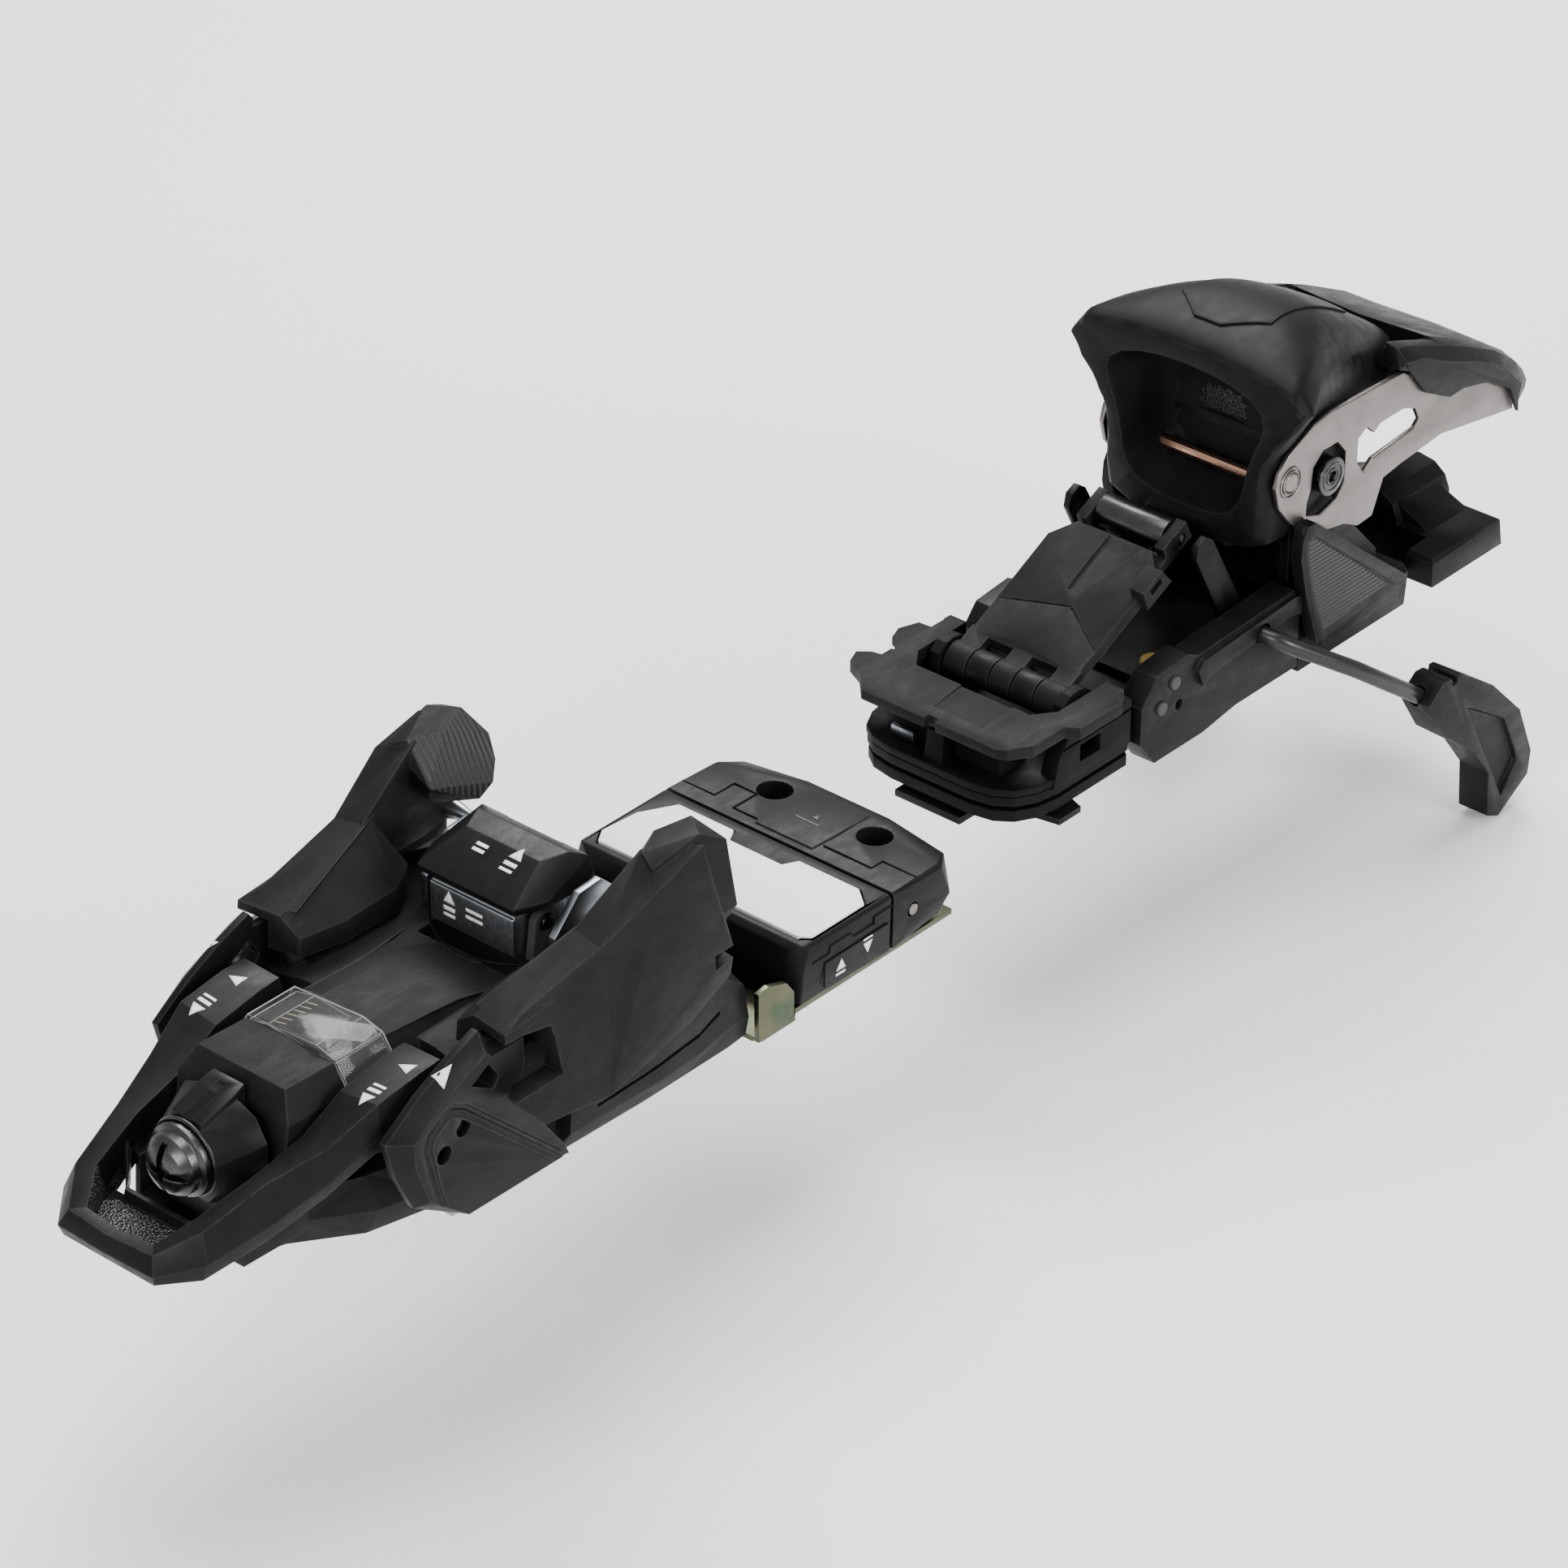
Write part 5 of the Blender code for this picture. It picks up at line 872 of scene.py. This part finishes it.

# The worn patch at the back of the mouth, and a ledge.
patch = prism("cup_worn_patch", "XZ", [(-7.6, 62.0), (11.6, 62.0), (12.4, 66.0), (11.8, 74.6), (-6.8, 75.6), (-8.2, 68.0)], 245.7, 246.6, "crackle")
soften(patch, 0.3, angle=30, segments=2)
detail(patch, "heel_cup")
ledge = hull("cup_ledge", [(15.6, 246.2, 57.6), (15.6, 244.6, 58.8), (15.6, 246.2, 61.4), (15.0, 245.2, 61.0)], "black_plastic")
soften(ledge, 0.3, angle=30)
detail(ledge, "heel_cup")

# ------------------------------------------------------ heel: step-out lever
for side, s in SIDES:
    plate = take("lever_plate_" + side)
    soften(plate, 0.4, angle=30, segments=3, smooth=40)
    show(plate)
    rivet = take("lever_rivet_" + side, mat="satin_steel")
    soften(rivet, 0.6, angle=30, segments=3)
    show(rivet)
    detail(merge("rivet_ring_" + side, [ring("r", "X", (237.0, 56.0), s * 27.45, 3.9, 0.28, "satin_steel"), ring("r", "X", (237.0, 56.0), s * 27.5, 2.9, 0.25, "dark_steel")], "satin_steel"), "lever_rivet_" + side)
axle = take("heel_main_axle")
soften(axle, 0.3, angle=30, segments=2)
show(axle)
for side, s in SIDES:
    detail(merge("axle_rings_" + side, [ring("r", "X", (252.5, 51.6), s * 28.62, 3.6, 0.22, "dark_steel"), ring("r", "X", (252.5, 51.6), s * 28.3, 4.75, 0.3, "dark_steel"), ring("r", "X", (252.5, 51.6), s * 28.66, 2.2, 0.18, "dark_steel")], "dark_steel"), "heel_main_axle")

grip = symmetric_loft("lever_grip_finished", [
    (300.6, [(0, 50.4), (21.0, 49.6), (25.3, 51.0), (25.3, 60.0), (28.6, 60.0), (28.6, 63.8), (25.4, 67.4), (21.4, 68.4), (0, 67.4)]),
    (312.0, [(0, 46.6), (21.0, 45.8), (24.9, 47.0), (24.9, 55.6), (28.5, 55.4), (28.5, 59.4), (25.6, 62.6), (21.6, 63.4), (0, 62.6)]),
    (324.0, [(0, 42.0), (20.6, 41.0), (24.4, 42.0), (24.4, 50.0), (27.8, 49.6), (28.0, 53.2), (25.2, 56.6), (21.2, 57.6), (0, 57.4)]),
    (334.0, [(0, 36.8), (19.6, 34.8), (23.6, 35.8), (24.4, 37.6), (26.6, 38.6), (27.4, 44.0), (24.8, 49.6), (20.6, 51.2), (0, 51.8)]),
    (340.8, [(0, 38.0), (19.0, 35.8), (21.4, 36.4), (22.8, 37.6), (24.0, 39.0), (24.2, 41.4), (22.8, 43.8), (19.4, 45.4), (0, 46.2)]),
], "black_plastic")
for side, s in SIDES:
    arm = solid("grip_arm", [(21.4, 280.2, 68.8), (27.4, 280.2, 69.2), (28.4, 281.6, 71.0), (25.8, 280.8, 74.6), (22.0, 280.4, 75.4),
                             (20.4, 288.0, 66.0), (28.6, 288.0, 66.0), (28.6, 288.0, 69.8), (25.4, 288.0, 72.4), (20.6, 288.0, 73.0),
                             (19.8, 302.0, 60.4), (28.6, 302.0, 60.4), (28.6, 302.0, 63.2), (25.4, 302.0, 66.8), (20.0, 302.0, 67.8)], s)
    skirt_in, skirt_out = sorted((s * 27.55, s * 28.62))
    skirt = prism("grip_skirt", "YZ", [(281.6, 70.0), (298.5, 64.6), (319, 56.0), (331.0, 45.5), (331.4, 37.6), (327.4, 45.6), (317.4, 51.6), (306.5, 54.2), (300.7, 54.0), (290.6, 59.2), (285.0, 65.8)], skirt_in, skirt_out)
    inner = solid("grip_inner", [(20.2, 288.0, 61.6), (25.3, 288.0, 61.6), (20.2, 288.0, 70.0), (25.3, 288.0, 70.0), (20.2, 304.0, 52.0), (25.3, 304.0, 52.0), (20.2, 304.0, 62.0), (25.3, 304.0, 62.0)], s)
    join(grip, arm, inner, skirt)
cut(grip, hull("grip_inset", [(16.0, 306.0, 66.0), (13.6, 326.0, 57.4), (16.0, 306.0, 74.0), (13.6, 326.0, 70.0), (6.0, 303.6, 66.7), (6.0, 303.6, 74.0)]),
    hull("grip_step", [(22.4, 279.0, 74.2), (22.4, 300.2, 67.6), (22.4, 279.0, 80.0), (22.4, 300.2, 80.0)]))
soften(grip, 0.7, angle=22, segments=3, smooth=36)
show(grip, "lever_grip")

# ---------------------------------------------------- heel: pedal and riser
PEDAL_SLOPE = math.radians(25.6)
UP = Vector((0.0, math.cos(PEDAL_SLOPE), math.sin(PEDAL_SLOPE)))
OUT = Vector((0.0, -UP.z, UP.y))
ROOT = Vector((0.0, 165.0, 22.0))


def on_slope(x, s, n):
    q = ROOT + UP * s + OUT * n
    return (x, q.y, q.z)


aid = hull("climbing_aid_finished", [on_slope(*p) for p in (
    (-17.0, 6.4, 0.9), (17.0, 6.4, 0.9), (-17.4, 40.0, 0.9), (16.6, 41.0, 0.9), (-12.6, 46.2, 0.9), (11.0, 46.2, 0.9), (17.0, 34.0, 0.9),
    (-16.2, 6.8, 3.1), (16.2, 6.8, 3.1), (-16.6, 39.4, 3.1), (15.8, 40.2, 3.1), (-12.0, 45.6, 3.1), (10.6, 45.6, 3.1),
    (3.6, 22.0, 3.95), (-7.0, 31.0, 3.85), (5.0, 44.0, 3.6), (-3.0, 9.0, 3.7), (9.6, 9.0, 3.6))], "matte_plastic", mirror=False)
cut(aid, hull("aid_channel", [on_slope(*p) for p in ((-1.4, 27.0, 3.2), (2.2, 27.0, 3.2), (-2.0, 47.0, 2.7), (9.0, 47.0, 2.7), (-1.6, 27.0, 8.0), (2.4, 27.0, 8.0), (-2.4, 47.0, 8.0), (9.4, 47.0, 8.0))], mirror=False),
    hull("aid_line", [on_slope(*p) for p in ((-17.0, 17.2, 3.0), (-17.0, 17.9, 3.0), (3.2, 22.6, 3.55), (3.2, 23.2, 3.55), (-17.0, 16.9, 9.0), (-17.0, 18.2, 9.0), (3.2, 22.3, 9.0), (3.2, 23.6, 9.0))], mirror=False),
    hull("aid_line_b", [on_slope(*p) for p in ((3.0, 22.3, 3.5), (3.6, 22.9, 3.5), (17.0, 13.4, 2.8), (17.0, 14.1, 2.8), (3.0, 22.0, 9.0), (3.8, 23.2, 9.0), (17.0, 13.1, 9.0), (17.0, 14.4, 9.0))], mirror=False))
for lo, hi in ((-17.0, -10.6), (-3.1, 3.1), (10.6, 17.0)):
    join(aid, cyl("knuckle", "X", tuple(ROOT.yz), lo, hi, 4.6), hull("bridge", [on_slope(x, s, n) for x in (lo + 0.2, hi - 0.2) for s in (1.0, 8.4) for n in (1.0, 3.2)], mirror=False))
latch = hull("aid_latch", [on_slope(*p) for p in ((14.6, 31.6, 1.0), (19.2, 31.6, 1.0), (14.6, 41.4, 1.0), (19.2, 41.4, 1.0), (14.6, 32.4, 6.4), (18.8, 32.4, 6.0), (14.6, 40.0, 6.6), (18.8, 40.0, 6.2))], mirror=False)
join(aid, latch)
cut(aid, cyl("aid_bore", "X", tuple(ROOT.yz), -30, 30, 1.9),
    hull("latch_window", [on_slope(*p) for p in ((12.0, 34.4, 3.4), (24.0, 34.4, 2.6), (12.0, 38.8, 3.4), (24.0, 38.8, 2.6), (12.0, 34.4, 5.2), (24.0, 34.4, 4.8), (12.0, 38.8, 5.2), (24.0, 38.8, 4.8))], mirror=False))
soften(aid, 0.45, angle=14, segments=3, smooth=30)
show(aid, "climbing_aid")

# ------------------------------------------------- heel: slider, front, base
slide = prism("walk_slider_finished", "XY", [(-20.6, 134.4), (20.6, 134.4), (23.4, 135.6), (27.0, 141.0), (27.0, 152.0), (30.4, 154.2), (30.4, 169.6), (27.0, 172.0), (27.0, 174.6), (21.5, 174.6), (21.5, 156.4), (17.5, 151.0),
                                             (-17.5, 151.0), (-21.5, 156.4), (-21.5, 174.6), (-26.6, 174.6), (-26.8, 168.4), (-31.0, 168.0), (-32.9, 162.6), (-31.4, 158.4), (-27.0, 156.4),
                                             (-27.0, 149.4), (-29.6, 148.8), (-32.5, 146.4), (-30.8, 142.2), (-25.6, 139.6)], 22.7, 26.0, "matte_plastic")
cut(slide, hull("slide_slope", [(33.0, 130.0, 24.2), (-33.0, 130.0, 24.2), (33.0, 137.4, 26.1), (-33.0, 137.4, 26.1), (33.0, 130.0, 30.0), (-33.0, 130.0, 30.0)], mirror=False),
    hull("slide_left_step", [(-26.4, 153.0, 25.1), (-40.0, 153.0, 25.1), (-26.4, 172.0, 25.1), (-40.0, 172.0, 25.1), (-26.4, 153.0, 30.0), (-40.0, 153.0, 30.0), (-26.4, 172.0, 30.0), (-40.0, 172.0, 30.0)], mirror=False),
    hull("slide_nick", [(-1.6, 133.0, 22.0), (2.6, 133.0, 22.0), (-1.0, 135.8, 22.0), (2.0, 135.8, 22.0), (-1.6, 133.0, 30.0), (2.6, 133.0, 30.0), (-1.0, 135.8, 30.0), (2.0, 135.8, 30.0)], mirror=False),
    hull("slide_tray", [(12.4, 151.4, 25.5), (-3.6, 151.4, 25.5), (13.0, 139.0, 25.7), (-2.0, 139.0, 25.7), (12.4, 151.4, 30.0), (-3.6, 151.4, 30.0), (13.0, 139.0, 30.0), (-2.0, 139.0, 30.0)], mirror=False))
soften(slide, 0.6, angle=20, segments=3, smooth=32)
show(slide, "walk_slider")

layers = []
for lo, hi, grow in ((3.6, 6.6, 0.0), (6.4, 8.2, -2.2), (7.9, 10.3, 0.2), (10.1, 10.9, -0.7), (10.7, 12.6, 0.4)):
    g = grow
    layers.append(prism("layer", "XY", [(-24 - g, 179), (-26.5 - g, 177), (-26.5 - g, 151), (-25.4 - g, 144.6), (-22.6 - g, 139.6 - g), (-18.4, 136.6 - g), (-12.0, 135.4 - g),
                                        (12.0, 135.4 - g), (18.4, 136.6 - g), (22.6 + g, 139.6 - g), (25.4 + g, 144.6), (26.5 + g, 151), (26.5 + g, 177), (24 + g, 179)], lo, hi))
base_front = layers[0]
join(base_front, *layers[1:])
for side, s in SIDES:
    x0, x1 = sorted((s * 22.4, s * 27.0))
    join(base_front, prism("wall", "YZ", [(148.6, 10.0), (177.6, 10.0), (177.6, 22.2), (154.0, 22.2), (150.4, 17.0)], x0, x1),
         prism("lug", "YZ", [(158.0, 10.0), (177.0, 10.0), (170.6, 25.0), (167.6, 27.0), (165.0, 27.4), (162.4, 27.0), (159.6, 25.0)], *sorted((s * 17.5, s * 20.6))))
    cut(base_front, cyl("lug_bore", "X", (165.0, 22.0), *sorted((s * 16.0, s * 22.3)), 1.9),
        box("wall_hole", sorted((s * 21.5, s * 34.0)), (158.4, 166.0), (13.4, 18.0)),
        box("wall_groove", sorted((s * 26.4, s * 34.0)), (151.0, 180.0), (19.0, 19.7)))
join(base_front, hull("front_post", [(3.0, 136.4, 12.0), (2.4, 141.0, 12.0), (2.4, 137.4, 20.6), (2.0, 141.0, 20.6)]),
     hull("front_core", [(16.0, 142.0, 12.0), (16.0, 152.0, 12.0), (15.0, 143.0, 19.6), (15.0, 152.0, 19.6)]))
cut(base_front, box("well", (-16.8, 16.8), (156.0, 190.0), (9.4, 22.0)))
base_front.name = "heel_front_base_finished"
soften(base_front, 0.5, angle=24, segments=3, smooth=36)
show(base_front, "heel_front_base")
glint = hull("front_spring_clip", [(-16.0, 139.6, 13.0), (-8.4, 139.6, 13.0), (-16.0, 141.0, 13.0), (-8.4, 141.0, 13.0), (-15.6, 139.6, 15.6), (-8.8, 139.6, 15.6), (-15.6, 141.0, 15.6), (-8.8, 141.0, 15.6)], "zinc_steel", mirror=False)
soften(glint, 0.3, angle=30)
detail(glint, "heel_front_base")

# ------------------------------------------------------- heel: brake housing
housing = take("brake_housing")
for side, s in SIDES:
    x0, x1 = sorted((s * 27.0, s * 29.6))
    join(housing, prism("housing_rib", "YZ", [(202.4, 15.4), (205.4, 17.2), (237.0, 19.8), (241.0, 18.6), (241.4, 23.4), (238.6, 24.2), (203.0, 22.2), (200.6, 20.0)], x0, x1))
    cut(housing, cyl("wire_room", "X", (226.0, 19.4), *sorted((s * 20.0, s * 40.0)), 2.9),
        prism("housing_line", "YZ", [(196.6, 8.4), (197.4, 8.2), (204.0, 13.4), (242.0, 15.4), (242.0, 16.1), (203.6, 14.1)], *sorted((s * 28.2, s * 34.0))))
soften(housing, 0.55, angle=26, segments=3, smooth=34)
show(housing)
for side, s in SIDES:
    pins = [soften(cyl("pin", "X", at, *sorted((s * 27.5, s * 28.75)), 1.75, "zinc_dull"), 0.35, angle=30, segments=3) for at in ((188.0, 15.0), (193.0, 20.0))]
    detail(merge("housing_pins_" + side, pins, "zinc_dull"), "brake_housing")

# -------------------------------------------------------- heel: the carriage
carriage = take("heel_carriage")
for side, s in SIDES:
    x0, x1 = sorted((s * 27.75, s * 31.0))
    rim = prism("fin_rim", "YZ", [(238.2, 35.0), (238.6, 40.0), (240.4, 43.4), (243.6, 43.4), (262.6, 28.0), (283.0, 12.0), (283.0, 9.6), (279.4, 10.6), (261.4, 25.4), (243.4, 40.0), (241.6, 38.6), (241.6, 33.6), (244.4, 24.0), (250.0, 8.4), (246.4, 8.4), (241.0, 23.6)], x0, x1)
    join(carriage, rim)
soften(carriage, 0.6, angle=26, segments=3, smooth=34)
show(carriage)
for side, s in SIDES:
    panel = prism("fin_panel_" + side, "YZ", [(242.0, 33.6), (242.2, 38.4), (243.6, 39.2), (260.6, 25.4), (276.0, 12.4), (249.4, 10.4), (245.2, 22.6)], *sorted((s * 30.0, s * 30.45)), "ribbed_fin")
    soften(panel, 0.15, angle=30, segments=1)
    detail(panel, "heel_carriage")

track = take("heel_track")
join(track, hull("end_gusset_right", [(8.0, 310.0, 7.0), (20.0, 310.0, 7.0), (8.0, 310.0, 13.0), (8.0, 327.6, 7.0), (20.0, 327.0, 7.0), (8.0, 327.0, 12.0)], mirror=False),
     hull("end_gusset_left", [(-8.0, 310.0, 7.0), (-20.0, 310.0, 7.0), (-8.0, 310.0, 13.0), (-8.0, 327.6, 7.0), (-20.0, 327.0, 7.0), (-8.0, 327.0, 12.0)], mirror=False))
soften(track, 0.8, angle=26, segments=3, smooth=36)
show(track)

# ------------------------------------------------------- heel: brake arms
WIRE = [(20.9, 226.0, 19.4), (28.0, 226.0, 19.4), (31.6, 226.2, 19.2), (33.6, 227.2, 18.5), (35.2, 228.8, 17.3), (36.8, 231.0, 15.8), (40.6, 237.0, 11.9), (45.0, 243.9, 7.4), (46.8, 249.4, 3.4), (48.4, 258.0, -2.8), (50.0, 271.4, -12.6)]
for side, s in SIDES:
    wire = tube("brake_wire_finished_" + side, [(s * a, b, c) for a, b, c in WIRE], 2.15, "black_wire", n=20)
    show(wire, "brake_wire_" + side)
    foot = take("brake_foot_" + side)
    x0, x1 = sorted((s * 45.4, s * 54.4))
    cut(foot, solid("foot_hollow", [(53.0, 279.0, -16.0), (60.0, 279.0, -14.0), (53.0, 296.0, -27.0), (60.0, 297.0, -24.0), (53.0, 303.0, -42.0), (60.0, 304.0, -42.0), (53.0, 297.0, -50.0), (60.0, 297.0, -50.0), (53.0, 293.0, -36.0), (60.0, 293.0, -36.0)], s),
        solid("foot_nick", [(44.0, 271.6, -2.0), (60.0, 271.6, -2.0), (44.0, 274.6, -2.0), (60.0, 274.6, -2.0), (44.0, 271.9, -6.4), (60.0, 271.9, -6.4), (44.0, 273.8, -6.4), (60.0, 273.8, -6.4)], s))
    soften(foot, 1.3, angle=24, segments=3, smooth=36)
    show(foot)

tower = take("heel_tower")
cut(tower, hull("tower_slope", [(30.0, 266.0, 36.0), (30.0, 283.6, 15.4), (30.0, 300.0, 15.4), (30.0, 300.0, 50.0), (30.0, 262.5, 54.0), (30.0, 262.5, 38.0)]))
soften(tower, 0.8, angle=26, segments=3)
show(tower)

for side, s in SIDES:
    crank = take("brake_crank_" + side, mat="black_steel")
    soften(crank, 0.4, angle=30, segments=2)
    show(crank)
# --------------------------------------------- nodes finished as they stand
SOFT_NODES = {
    "toe_base_plate": 0.3, "toe_din_screw": 0.25, "toe_din_indicator": 0.3,
    "lever_pin_left": 0.3, "lever_pin_right": 0.3, "wing_pin_left": 0.4, "wing_pin_right": 0.4,
    "touring_pin_left": 0.3, "touring_pin_right": 0.3, "pin_bracket_left": 0.3, "pin_bracket_right": 0.3,
    "mode_pin": 0.3, "mode_cheek_left": 0.3, "mode_cheek_right": 0.3, "afd_tray": 0.25, "afd_hinge_pin": 0.3,
    "toe_mounting_screw_left": 0.3, "toe_mounting_screw_right": 0.3,
    
    "brake_pedal": 0.4, "pedal_roller": 0.5, "pedal_hinge_pin": 0.3, "brake_bumper": 0.8,
    
    "heel_din_screw": 0.3,
    
}
SOFT_NODES = {n: w for n, w in SOFT_NODES.items() if not NODES[n].hide_render}


# Every node gets its finish, and the nodes listed in SOFT_NODES that are still shown get rounded edges.
for name, node in NODES.items():
    node.data.materials.clear()
    node.data.materials.append(MATS[SLOT_OF[name]])
for name, width in SOFT_NODES.items():
    show(soften(take(name, mat="zinc_dull" if name.startswith("mode_cheek") else None), width))

# ------------------------------------------------------------------ the stage
bpy.ops.mesh.primitive_plane_add(size=6.0, location=(0, 0.1, -0.0565))
floor = bpy.context.object
floor.name = "floor"
t = Tree("floor")
t.link(t.mix(t.noise(3.0), (0.92, 0.92, 0.925), (0.94, 0.94, 0.945)), t.shader.inputs["Base Color"])
t.shader.inputs["Roughness"].default_value = 0.9
floor.data.materials.append(t.mat)

world = bpy.data.worlds.new("studio")
bpy.context.scene.world = world
world.use_nodes = True
world.node_tree.nodes["Background"].inputs["Color"].default_value = (1.0, 1.0, 1.0, 1.0)
world.node_tree.nodes["Background"].inputs["Strength"].default_value = 0.66


def softbox(name, place, aim, size, size_y, energy):
    data = bpy.data.lights.new(name, "AREA")
    data.shape = "RECTANGLE"
    data.size, data.size_y, data.energy = size, size_y, energy
    lamp = bpy.data.objects.new(name, data)
    bpy.context.scene.collection.objects.link(lamp)
    lamp.location = place
    lamp.rotation_euler = (Vector(aim) - Vector(place)).to_track_quat("-Z", "Y").to_euler()
    return lamp


softbox("key", (-0.55, 0.75, 0.95), (0, 0.12, 0.03), 0.7, 0.5, 19.0)
softbox("front", (0.35, -0.95, 0.55), (0, 0.1, 0.03), 0.6, 0.4, 8.2)
softbox("side", (1.15, 0.25, 0.55), (0, 0.12, 0.03), 0.5, 0.5, 10.5)
softbox("top", (0.0, 0.15, 1.2), (0, 0.12, 0.03), 0.5, 0.9, 10.0)

az, el = math.radians(41.175), math.radians(31.86)
back = Vector((math.sin(az) * math.cos(el), -math.cos(az) * math.cos(el), math.sin(el)))
camera_data = bpy.data.cameras.new("camera")
camera_data.sensor_width = 36.0
camera_data.lens = 139.75
camera_data.clip_start = 0.01
camera = bpy.data.objects.new("camera", camera_data)
bpy.context.scene.collection.objects.link(camera)
camera.location = Vector((2.73, 80.0, 33.98)) * MM + back * 1.3896
camera.rotation_euler = back.to_track_quat("Z", "Y").to_euler()
bpy.context.scene.camera = camera
